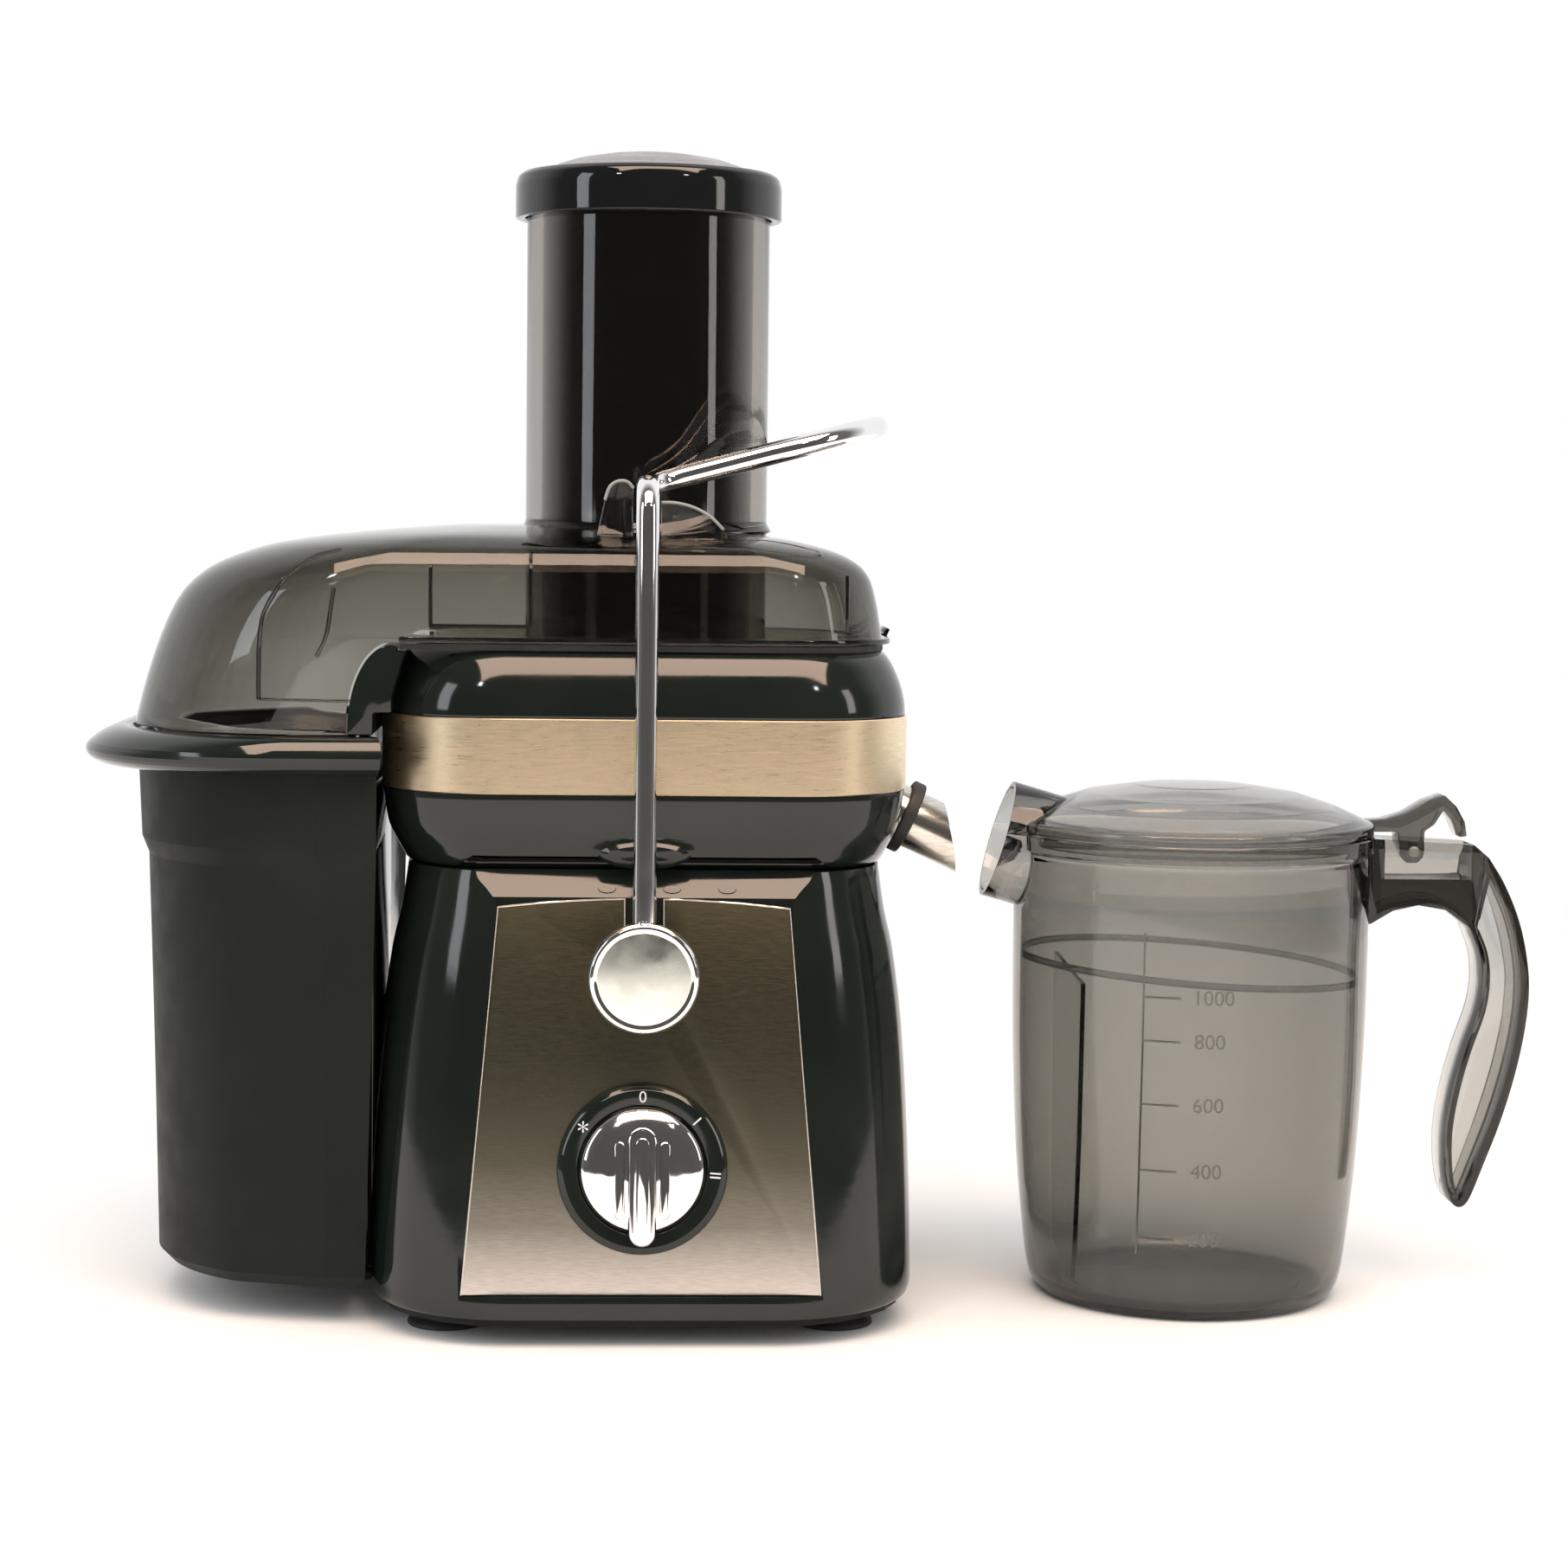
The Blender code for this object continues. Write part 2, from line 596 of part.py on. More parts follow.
def locking_arm(machine):
    pivot = empty("arm_pivot", (0, 0, PIVOT_Z), machine)
    arm = place("locking_arm", rod_mesh("locking_arm", arm_points(), ROD_RADIUS), pivot, CHROME)
    hub_inner = ARM_Y - 9.5 * MM
    hub_outer = ARM_Y + 5 * MM
    for end, sign in (("front", 1), ("rear", -1)):
        turn = (sign * TO_FRONT, 0, 0)
        hub = tube_mesh("arm_hub", PIN_RADIUS + GAP, HUB_RADIUS, hub_inner, hub_outer)
        join(arm, place(f"arm_hub_{end}", hub, pivot, turn=turn))
        back = hub_outer + GAP
        profile = [
            (0, back + 4.2 * MM), (CAP_RADIUS - 2 * MM, back + 4.2 * MM), (CAP_RADIUS - 0.5 * MM, back + 3.6 * MM),
            (CAP_RADIUS, back + 2.4 * MM), (CAP_RADIUS, back), (0, back),
        ]
        cap = turned_mesh("arm_cap", profile, ROUND)
        place(f"arm_cap_{end}", cap, pivot, CHROME, turn=turn)
        wall = face_depth(PIVOT_Z) - HOUSING_FACE_WALL
        profile = [
            (0, hub_outer - GAP), (PIN_RADIUS, hub_outer - GAP), (PIN_RADIUS, wall - 1 * MM),
            (7 * MM, wall - 1 * MM), (7 * MM, wall - 3.5 * MM), (0, wall - 3.5 * MM),
        ]
        pin = turned_mesh("pivot_pin", profile, SMALL_ROUND)
        place(f"pivot_pin_{end}", pin, machine, STEEL, (0, 0, PIVOT_Z), turn)


# ---------------------------------------------------------------- bowl, basket and spout

BOWL_SHAPE = (  # height, half width, corner radius
    (BOWL_BOTTOM, 79.5 * MM, 35 * MM),
    (160.5 * MM, 83.4 * MM, 37 * MM),
    (168 * MM, 86.2 * MM, 39 * MM),
    (175 * MM, 87.7 * MM, 40 * MM),
    (BAND_LOW - GAP, 88.9 * MM, 41 * MM),
    (BAND_LOW - GAP, 88.1 * MM, 40.2 * MM),
    (BAND_HIGH + GAP, 88.1 * MM, 40.2 * MM),
    (BAND_HIGH + GAP, 88.8 * MM, 41 * MM),
    (215 * MM, 88 * MM, 40 * MM),
    (221 * MM, 86.3 * MM, 39 * MM),
    (226 * MM, 84 * MM, 37 * MM),
    (BOWL_TOP, 81.4 * MM, 35 * MM),
)
BOWL_INSIDE = (
    (240 * MM, 79 * MM, 33 * MM),
    (BOWL_TOP, 79 * MM, 33 * MM),
    (214 * MM, 84.8 * MM, 37 * MM),
    (184 * MM, 85.4 * MM, 37 * MM),
    (170 * MM, 84 * MM, 37 * MM),
    (163 * MM, 80 * MM, 34 * MM),
    (160.2 * MM, 75 * MM, 30 * MM),
)


def bowl_ring(z, half, radius):
    return square_ring(z, half, half + BOWL_DEEPER, radius)


def juice_bowl(machine, spout_axis):
    rings = [bowl_ring(*level) for level in BOWL_SHAPE]
    bowl = place("juice_bowl", loft_mesh("juice_bowl", rings), machine, GLOSS_BLACK)
    edge = -90.2 * MM
    inner = -60 * MM
    outline = [(edge, LID_SKIRT), (-SHOULDER_X - SHOULDER_REACH, LID_SKIRT)] + shoulder_arc(0)
    outline += [(-82.6 * MM, 231.5 * MM), (-82 * MM, BOWL_TOP - 0.1 * MM), (inner, BOWL_TOP - 0.1 * MM)]
    outline += [(inner, 209 * MM), (edge, 209 * MM)]
    shoulder = plate_mesh("shoulder", [outline], -83.5 * MM, 83.5 * MM)
    join(bowl, place("shoulder", shoulder, machine, turn=(TO_FRONT, 0, 0)))
    cavity = loft_mesh("bowl_cavity", [bowl_ring(*level) for level in BOWL_INSIDE])
    cut(bowl, place("bowl_cavity", cavity, machine))
    collar = cylinder_mesh("collar", COLLAR_RADIUS + 3 * MM, 158.5 * MM, 175.5 * MM, 24)
    join(bowl, place("collar", collar, machine))
    cut(bowl, place("collar_bore", cylinder_mesh("collar_bore", COLLAR_RADIUS, 140 * MM, 180 * MM, 24), machine))
    outlet = cylinder_mesh("outlet", SPOUT_RADIUS + GAP, -14 * MM, 14 * MM, 24)
    cut(bowl, place("outlet", outlet, spout_axis))
    return bowl


def shoulder_arc(margin):
    """The quarter round over the bin, from its foot up to the bowl's edge, grown by a margin."""
    points = []
    for x, z in arc(0, 0, 1, 180, 90, 8):
        points.append((-SHOULDER_X + (SHOULDER_REACH + margin) * x, SHOULDER_FOOT + (SHOULDER_RISE + margin) * z))
    return points


def bowl_band(machine):
    inner = BAND_HALF - 0.8 * MM
    rings = [bowl_ring(BAND_LOW, BAND_HALF, 41 * MM), bowl_ring(BAND_HIGH, BAND_HALF, 41 * MM),
             bowl_ring(BAND_HIGH, inner, 40.2 * MM), bowl_ring(BAND_LOW, inner, 40.2 * MM)]
    place("bowl_trim_band", loft_mesh("bowl_trim_band", rings, closed=True), machine, STEEL)


def juice_spout(spout_axis):
    bore = SPOUT_RADIUS - SPOUT_WALL
    tube = tube_mesh("juice_spout", bore, SPOUT_RADIUS, -8 * MM, SPOUT_LENGTH + 3 * MM, 24)
    spout = place("juice_spout", tube, spout_axis, STEEL)
    trim = box_mesh("spout_trim", (-30 * MM, -30 * MM, 0), (30 * MM, 30 * MM, 30 * MM))
    lean = math.radians(35)
    cut(spout, place("spout_trim", trim, spout_axis, location=(0, 0, 20.9 * MM), turn=(0, -lean, 0)))
    seal = tube_mesh("spout_seal", SPOUT_RADIUS + GAP, SPOUT_RADIUS + 2.8 * MM, 1.2 * MM, 5.6 * MM, 24)
    place("spout_seal", seal, spout_axis, RUBBER)


def basket_parts(machine):
    """The drive coupling on the shaft, the conical sieve basket on it and the grater disc in the basket."""
    bore = SHAFT_RADIUS + GAP
    coupling = [
        (bore, 185.5 * MM), (11 * MM, 185.5 * MM), (12 * MM, 184 * MM), (12 * MM, 160 * MM), (bore, 160 * MM),
    ]
    place("drive_coupling", turned_mesh("drive_coupling", coupling, 16, closed=True), machine, SATIN_BLACK)
    basket = [
        (73 * MM, 234.5 * MM), (75 * MM, 234 * MM), (75 * MM, 232 * MM), (71.4 * MM, 230.5 * MM),
        (44.6 * MM, 187 * MM), (17 * MM, 187 * MM), (17 * MM, 177 * MM), (12.6 * MM, 177 * MM),
        (12.6 * MM, 186 * MM), (4.5 * MM, 186 * MM), (4.5 * MM, 189 * MM), (43 * MM, 189 * MM),
        (69.6 * MM, 232 * MM),
    ]
    place("filter_basket", turned_mesh("filter_basket", basket, ROUND, closed=True), machine, STEEL)
    grater = [
        (4.5 * MM, 193 * MM), (8 * MM, 193 * MM), (10 * MM, 191.5 * MM), (41 * MM, 191.5 * MM),
        (41 * MM, 189.3 * MM), (4.5 * MM, 189.3 * MM),
    ]
    place("grater_disc", turned_mesh("grater_disc", grater, ROUND, closed=True), machine, STEEL)


# ---------------------------------------------------------------- lid and pusher

LID_SHAPE = (  # height, low x, high x, half depth, low-x corner radius, high-x corner radius
    (LID_SKIRT, -177 * MM, 84 * MM, 80.5 * MM, 62 * MM, 36 * MM),
    (218 * MM, -172.4 * MM, 82.6 * MM, 82.5 * MM, 62 * MM, 36 * MM),
    (234 * MM, -166.6 * MM, 80.6 * MM, 84 * MM, 61 * MM, 36 * MM),
    (247 * MM, -159.8 * MM, 78.4 * MM, 83 * MM, 59 * MM, 35 * MM),
    (255 * MM, -151 * MM, 75.8 * MM, 81.6 * MM, 56 * MM, 34 * MM),
    (260.5 * MM, -139 * MM, 70 * MM, 79.6 * MM, 52 * MM, 31 * MM),
    (264.5 * MM, -125 * MM, 60 * MM, 76 * MM, 48 * MM, 28 * MM),
    (268 * MM, -100 * MM, 42 * MM, 66 * MM, 42 * MM, 26 * MM),
    (271 * MM, -66 * MM, 8 * MM, 36 * MM, 30 * MM, 24 * MM),
)


def lid(machine):
    outer = [rounded_ring(*level) for level in LID_SHAPE]
    inner = []
    for z, low, high, depth, r_low, r_high in LID_SHAPE:
        level = max(z - LID_WALL, LID_SKIRT)
        inner.append(rounded_ring(level, low + LID_WALL, high - LID_WALL, depth - LID_WALL,
                                  r_low - LID_WALL, r_high - LID_WALL))
    cover = place("lid", loft_mesh("lid", inner[::-1] + outer), machine, SMOKED)
    clearance = 0.8 * MM
    outline = [(-SHOULDER_X - SHOULDER_REACH - clearance, 190 * MM)] + shoulder_arc(clearance)
    outline += [(120 * MM, LID_BASE), (120 * MM, 190 * MM)]
    opening = plate_mesh("lid_opening", [outline], -100 * MM, 100 * MM)
    cut(cover, place("lid_opening", opening, machine, turn=(TO_FRONT, 0, 0)))
    chute = [(0, CHUTE_TOP), (CHUTE_RADIUS, CHUTE_TOP), (CHUTE_RADIUS, CHUTE_BOTTOM), (0, CHUTE_BOTTOM)]
    join(cover, place("chute", turned_mesh("chute", chute, ROUND), machine))
    bore = cylinder_mesh("chute_bore", CHUTE_BORE, CHUTE_BOTTOM - 5 * MM, CHUTE_TOP + 5 * MM, ROUND)
    cut(cover, place("chute_bore", bore, machine))
    join(cover, place("lid_flange", rim_mesh("lid_flange", 83.4 * MM, 79.6 * MM, LID_BASE, 2 * MM), machine))
    for end, y in (("front", -FIN_Y), ("rear", FIN_Y)):
        for side, outline in (("left", LEFT_FIN), ("right", RIGHT_FIN)):
            fin = plate_mesh("fin", [outline], -FIN_THICK / 2, FIN_THICK / 2)
            join(cover, place(f"fin_{end}_{side}", fin, machine, location=(0, y, 0), turn=(TO_FRONT, 0, 0)))
    return cover


FIN_FOOT = 265.6 * MM
LEFT_FIN = [
    (-4.7 * MM, FIN_FOOT), (-4.7 * MM, 284 * MM), (-6.5 * MM, 286 * MM), (-9.5 * MM, 286.4 * MM),
    (-12.5 * MM, 284.6 * MM), (-14.2 * MM, 280 * MM), (-17.5 * MM, FIN_FOOT),
]
RIGHT_FIN = [
    (28.5 * MM, FIN_FOOT), (25.5 * MM, 270.5 * MM), (21.5 * MM, 274.5 * MM), (16 * MM, 277.6 * MM),
    (10 * MM, 279.2 * MM), (4.7 * MM, 279.4 * MM), (4.7 * MM, FIN_FOOT),
]


def rim_mesh(name, outer, inner, low, height):
    """A flat rim round the bowl's mouth, open on the side that faces the bin."""
    reach = -81.5 * MM
    paths = []
    for half, radius in ((outer, 37 * MM), (inner, 33 * MM)):
        depth = half + BOWL_DEEPER
        path = [(reach, -depth)] + arc(half - radius, -depth + radius, radius, -90, 0, 8)
        path += arc(half - radius, depth - radius, radius, 0, 90, 8) + [(reach, depth)]
        paths.append(path)
    return plate_mesh(name, [paths[0] + paths[1][::-1]], low, low + height)


def lid_gasket(machine):
    mesh = rim_mesh("lid_gasket", 81.2 * MM, 79.3 * MM, BOWL_TOP + GAP, LID_BASE - BOWL_TOP - 2 * GAP)
    place("lid_gasket", mesh, machine, RUBBER)


def pusher(machine):
    flange = CHUTE_TOP + 0.5 * MM
    flange_top = 389.2 * MM
    inside = PUSHER_RADIUS - PUSHER_WALL
    body = [
        (inside, flange_top), (42.4 * MM, flange_top), (42.4 * MM, flange), (PUSHER_RADIUS, flange),
        (PUSHER_RADIUS, PUSHER_BOTTOM + 2 * MM), (PUSHER_RADIUS - 2 * MM, PUSHER_BOTTOM), (0, PUSHER_BOTTOM),
    ]
    body = [(0, PUSHER_BOTTOM + PUSHER_WALL), (inside, PUSHER_BOTTOM + PUSHER_WALL)] + body
    place("pusher_body", turned_mesh("pusher_body", body), machine, GLOSS_BLACK)
    seat = flange_top + GAP
    inner = 38.8 * MM
    skirt = CHUTE_RADIUS + 0.7 * MM
    cap = [
        (inner, CAP_TOP - 1 * MM), (40 * MM, CAP_TOP), (44 * MM, CAP_TOP), (46 * MM, CAP_TOP - 1.6 * MM),
        (CAP_RIM_RADIUS, CAP_TOP - 5 * MM), (CAP_RIM_RADIUS, CAP_RIM_BOTTOM), (skirt, CAP_RIM_BOTTOM),
        (skirt, seat), (inner, seat),
    ]
    place("pusher_cap", turned_mesh("pusher_cap", cap, ROUND, closed=True), machine, GLOSS_BLACK)
    edge = inner - GAP
    dome = [
        (0, DOME_TOP), (14 * MM, DOME_TOP - 0.6 * MM), (26 * MM, DOME_TOP - 2.6 * MM), (34 * MM, 396.2 * MM),
        (edge, CAP_TOP - 0.5 * MM), (edge, seat), (edge - 2 * MM, seat), (edge - 2 * MM, 392.4 * MM),
        (32 * MM, 394.8 * MM), (24 * MM, 397.2 * MM), (0, DOME_TOP - 2 * MM),
    ]
    place("pusher_dome", turned_mesh("pusher_dome", dome), machine, SMOKED)


# ---------------------------------------------------------------- pulp bin

def bin_ring(z, low, middle, horn, depth, radius):
    """A level of the bin: round towards -X, hollowed on the machine's side, where two horns hug its corners."""
    ring = []
    left = ((low + radius, depth - radius, 90), (low + radius, -depth + radius, 180))
    for x, y, start in left:
        ring += [(px, py, z) for px, py in arc(x, y, radius, start, start + 90, 8)]
    for y in (-1, -0.94, -0.8, -0.5, 0, 0.5, 0.8, 0.94, 1):
        x = middle + (horn - middle) * abs(y) ** 8
        ring.append((x, y * depth, z))
    return ring


BIN_SHAPE = (  # height, low x, middle of the right wall, horns, half depth, radius
    (13, -167, -99, -94.6, 71, 62),
    (17, -170.6, -98.6, -93.2, 74, 64),
    (100, -172, -96.6, -91, 76, 65),
    (156, -173.2, -95.6, -89.6, 77, 65),
    (162, -175.6, -95.4, -89.4, 78, 66),
    (187.6, -176.6, -95.2, -89.2, 79, 67),
    (188, -190, -95.2, -88.4, 84.6, 68),
    (190.4, -194, -95.2, -87.6, 88, 70),
    (194, -192.6, -95.2, -87.2, 88.8, 70),
    (197.6, -188.6, -95.2, -87.2, 87.4, 68),
    (200.2, -183, -95.2, -88, 85, 67),
    (201, -179.8, -95.4, -89.4, 83, 66),
    (199.6, -178, -98, -93, 81.4, 66),
    (190, -174.2, -98, -92.6, 76.4, 65),
    (162.5, -173.2, -98, -92.8, 75.4, 64),
    (156.5, -170.8, -98.2, -93, 74.4, 63),
    (100, -169.6, -99.2, -94.4, 73.4, 62.6),
    (18, -168, -101.4, -96.6, 71, 61.6),
    (15.6, -165, -102, -98, 68.6, 60),
)


def pulp_bin(machine):
    rings = []
    for level in BIN_SHAPE:
        rings.append(bin_ring(*[value * MM for value in level]))
    bin_object = place("pulp_bin", loft_mesh("pulp_bin", rings), machine, SATIN_BLACK)
    return bin_object


# ---------------------------------------------------------------- jug

def jug_body(jug):
    outer = [
        (0, JUG_RIM), (64.4 * MM, JUG_RIM), (64.4 * MM, JUG_RIM - 5.5 * MM), (JUG_RADIUS, JUG_RIM - 7 * MM),
        (62.9 * MM, 118 * MM), (62.5 * MM, 90 * MM), (60.6 * MM, 50 * MM), (57.6 * MM, 20 * MM),
        (55.6 * MM, 7 * MM), (52.8 * MM, 1.8 * MM), (49.5 * MM, 0), (43 * MM, 0), (41.5 * MM, 1.5 * MM),
        (0, 1.5 * MM),
    ]
    vessel = place("jug_body", turned_mesh("jug_body", outer, 40), jug, SMOKED)
    inlet = place("inlet_axis", box_mesh("inlet_axis", (0, 0, 0), (MM, MM, MM)), jug)
    gutter = place_on_inlet("gutter", INLET_RADIUS, 0, 22 * MM, jug)
    below = box_mesh("above_rim", (-100 * MM, -40 * MM, JUG_RIM), (0, 40 * MM, 220 * MM))
    cut(gutter, place("above_rim", below, jug))
    bpy.data.objects.remove(inlet, do_unlink=True)
    join(vessel, gutter)
    join(vessel, handle(jug))
    cavity = [
        (0, JUG_RIM + 10 * MM), (61.8 * MM, JUG_RIM + 10 * MM), (61.8 * MM, 158 * MM), (60.8 * MM, 156 * MM),
        (60.7 * MM, 118 * MM), (60.3 * MM, 90 * MM), (58.4 * MM, 50 * MM), (55.4 * MM, 20 * MM),
        (53.2 * MM, 8 * MM), (50.6 * MM, 4 * MM), (0, 4 * MM),
    ]
    cut(vessel, place("cavity", turned_mesh("cavity", cavity, 40), jug))
    cut(vessel, place_on_inlet("inlet_bore_jug", INLET_BORE, -10 * MM, 24 * MM, jug))
    return vessel


def place_on_inlet(name, radius, low, high, parent, offset=Vector((0, 0, 0))):
    """A cylinder on the inlet's axis, which slopes down into the jug."""
    mesh = cylinder_mesh(name, radius, low, high, 24)
    return place(name, mesh, parent, location=INLET_MOUTH - offset, turn=(0, math.pi / 2 + INLET_ANGLE, 0))


HANDLE_OUTLINE = [  # x from the jug's axis, z
    (58, 163.8), (99.6, 161.6), (105, 157), (110.4, 148.5), (115.6, 137), (119, 125), (120.8, 111),
    (119.8, 96), (116.6, 79), (111.8, 62), (106, 46), (101.8, 35), (99.8, 32), (97.6, 31.2),
    (95.4, 32.6), (93.2, 39), (92, 48), (92, 60), (94.2, 74), (97.8, 88), (102.4, 102), (103.8, 112),
    (102.8, 122), (98.8, 132), (90, 138.4), (80, 140), (71, 138), (63, 133.2), (58, 133),
]


def offset_outline(outline, distance):
    """The outline moved inwards by a distance, point by point along the bisectors."""
    moved = []
    count = len(outline)
    for i, point in enumerate(outline):
        here = Vector(point)
        before = (here - Vector(outline[i - 1])).normalized()
        after = (Vector(outline[(i + 1) % count]) - here).normalized()
        inward = Vector((before.y + after.y, -before.x - after.x)).normalized()
        stretch = max(inward.dot(Vector((before.y, -before.x))), 0.5)
        moved.append(tuple(here + inward * distance / stretch))
    return moved


def handle(jug):
    """An I-section handle: a rim round a thin web, with a slot in its top for the lid's hinge."""
    outline = [(x * MM, z * MM) for x, z in HANDLE_OUTLINE]
    turn = (TO_FRONT, 0, 0)
    half = HANDLE_WIDTH / 2
    bar = place("handle", plate_mesh("handle", [outline], -half, half), jug, turn=turn)
    grip = outline[2:24]
    grip_pocket = offset_outline(grip, HANDLE_RIM)
    bracket = [
        (66.4 * MM, 158 * MM), (66.4 * MM, 139.4 * MM), (73 * MM, 142.4 * MM), (80 * MM, 143.4 * MM),
        (88 * MM, 142.4 * MM), (96 * MM, 138.6 * MM), (98 * MM, 141 * MM), (98 * MM, 156 * MM),
    ]
    for name, pocket in (("grip", grip_pocket), ("bracket", bracket)):
        for side in (-1, 1):
            low, high = sorted((side * HANDLE_WEB / 2, side * (half + 1 * MM)))
            if name == "bracket":
                low, high = sorted((side * 8.6 * MM, side * (half + 1 * MM)))
            mesh = plate_mesh("pocket", [pocket], low, high)
            cut(bar, place(f"{name}_pocket_{side + 1}", mesh, jug, turn=turn))
    slot = box_mesh("hinge_slot", (68 * MM, -6.3 * MM, 149 * MM), (99.4 * MM, 6.3 * MM, 170 * MM))
    cut(bar, place("hinge_slot", slot, jug))
    pin_hole = cylinder_mesh("hinge_hole", HINGE_PIN_RADIUS + GAP, -20 * MM, 20 * MM, 12)
    cut(bar, place("hinge_hole", pin_hole, jug, location=(HINGE_X, 0, HINGE_Z), turn=turn))
    return bar


def jug_lid(jug):
    hinge = empty("jug_lid_hinge", (HINGE_X, 0, HINGE_Z), jug)
    offset = Vector((HINGE_X, 0, HINGE_Z))
    base = JUG_RIM + GAP
    profile = [
        (0, 182.6 * MM), (20 * MM, 181.8 * MM), (38 * MM, 179 * MM), (51 * MM, 174.8 * MM), (59 * MM, 171.2 * MM),
        (64.2 * MM, 169.2 * MM), (64.2 * MM, base), (59.4 * MM, base), (59.4 * MM, base - 5 * MM),
        (57.6 * MM, base - 5 * MM), (57.6 * MM, 168.8 * MM), (49.6 * MM, 172.9 * MM), (37 * MM, 177 * MM),
        (20 * MM, 179.8 * MM), (0, 180.6 * MM),
    ]
    cover = place("jug_lid", turned_mesh("jug_lid", profile, 40), hinge, SMOKED, location=-offset)
    hood = place_on_inlet("hood", INLET_RADIUS, 0, 34 * MM, hinge, offset)
    low = box_mesh("below_lid", (-120 * MM, -40 * MM, 100 * MM), (40 * MM, 40 * MM, base))
    cut(hood, place("below_lid", low, hinge, location=-offset))
    join(cover, hood)
    cut(cover, place_on_inlet("inlet_bore_lid", INLET_BORE, -10 * MM, 30 * MM, hinge, offset))
    outline = [
        (60 * MM, 170 * MM), (60 * MM, base + 0.4 * MM), (73.2 * MM, base + 0.4 * MM), (73.8 * MM, 157 * MM),
        (76 * MM, 154.8 * MM), (80 * MM, 154.8 * MM), (82.2 * MM, 157 * MM), (82.6 * MM, 166 * MM),
        (86 * MM, 168.4 * MM), (89.2 * MM, 173.6 * MM), (92.4 * MM, 170 * MM), (95.2 * MM, 164 * MM),
        (97.8 * MM, 164.4 * MM), (97 * MM, 169.4 * MM), (93.8 * MM, 175 * MM), (89.4 * MM, 179 * MM),
        (83 * MM, 176.6 * MM), (76 * MM, 172.4 * MM), (69 * MM, 170.2 * MM),
    ]
    tab = plate_mesh("thumb_tab", [outline], -5.6 * MM, 5.6 * MM)
    join(cover, place("thumb_tab", tab, hinge, location=-offset, turn=(TO_FRONT, 0, 0)))
    pin_hole = cylinder_mesh("lid_hinge_hole", HINGE_PIN_RADIUS + GAP, -20 * MM, 20 * MM, 12)
    cut(cover, place("lid_hinge_hole", pin_hole, hinge, turn=(TO_FRONT, 0, 0)))
    pin = cylinder_mesh("jug_hinge_pin", HINGE_PIN_RADIUS, -9.3 * MM, 9.3 * MM, 12)
    place("jug_hinge_pin", pin, jug, STEEL, (HINGE_X, 0, HINGE_Z), (TO_FRONT, 0, 0))


def froth_separator(jug):
    """A plate across the jug behind its lip, which juice passes underneath."""
    x = -43 * MM
    side = ((29.4 * MM, 10 * MM), (33 * MM, 20 * MM), (38.4 * MM, 60 * MM), (40.6 * MM, 116 * MM))
    outline = list(side) + [(-half, z) for half, z in reversed(side)]
    mesh = plate_mesh("froth_separator", [outline], -0.8 * MM, 0.8 * MM)
    place("froth_separator", mesh, jug, SMOKED, (x, 0, 0), (math.pi / 2, 0, math.pi / 2))


# ---------------------------------------------------------------- assembly

def main():
    machine = empty("machine", (MACHINE_X, MACHINE_Y, 0))
    jug = empty("jug_stand", (MACHINE_X + JUG_X, MACHINE_Y + JUG_Y, 0))
    floor_y = -face_depth(FACE_Z) + POCKET_DEPTH / math.cos(FACE_TILT)
    face = empty("front_face", (0, floor_y, FACE_Z), machine, FACE_TURN)
    panel_front = GAP + PANEL_THICK
    dial_y = -face_depth(KNOB_Z) + (POCKET_DEPTH - panel_front) / math.cos(FACE_TILT)
    knob_axis = empty("knob_axis", (0, dial_y, KNOB_Z), machine, FACE_TURN)
    gland_z = 28 * MM
    gland_axis = empty("gland_axis", (28 * MM, face_depth(gland_z), gland_z), machine, -FACE_TURN)
    spout_axis = empty("spout_axis", SPOUT_ROOT, machine)
    spout_axis.rotation_euler = (0, math.pi / 2 + SPOUT_ANGLE, 0)

    motor_housing(machine, face, knob_axis, gland_axis)
    panel = front_panel(face)
    panel_hole = cylinder_mesh("panel_hole", 3.6 * MM, -10 * MM, 10 * MM)
    cut(panel, place("panel_hole", panel_hole, knob_axis))
    base_plate(machine)
    feet(machine)
    cord_gland(gland_axis)
    motor(machine)
    controls(machine, knob_axis)
    dial(knob_axis)
    locking_arm(machine)
    juice_bowl(machine, spout_axis)
    bowl_band(machine)
    juice_spout(spout_axis)
    basket_parts(machine)
    lid(machine)
    lid_gasket(machine)
    pusher(machine)
    pulp_bin(machine)
    jug_body(jug)
    jug_lid(jug)
    froth_separator(jug)
    for thing in PARTS.objects:
        if thing.type == "MESH":
            smooth_sharp(thing)


main()
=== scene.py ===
"""The looks of the centrifugal juicer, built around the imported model.

Lengths are metres. Outlines are in millimetres from the machine's drive axis or from the jug's axis, whose
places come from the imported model. Heights are from the counter. The dial faces -Y.
"""
import math

import bmesh
import bpy
import numpy as np
from mathutils import Matrix, Vector


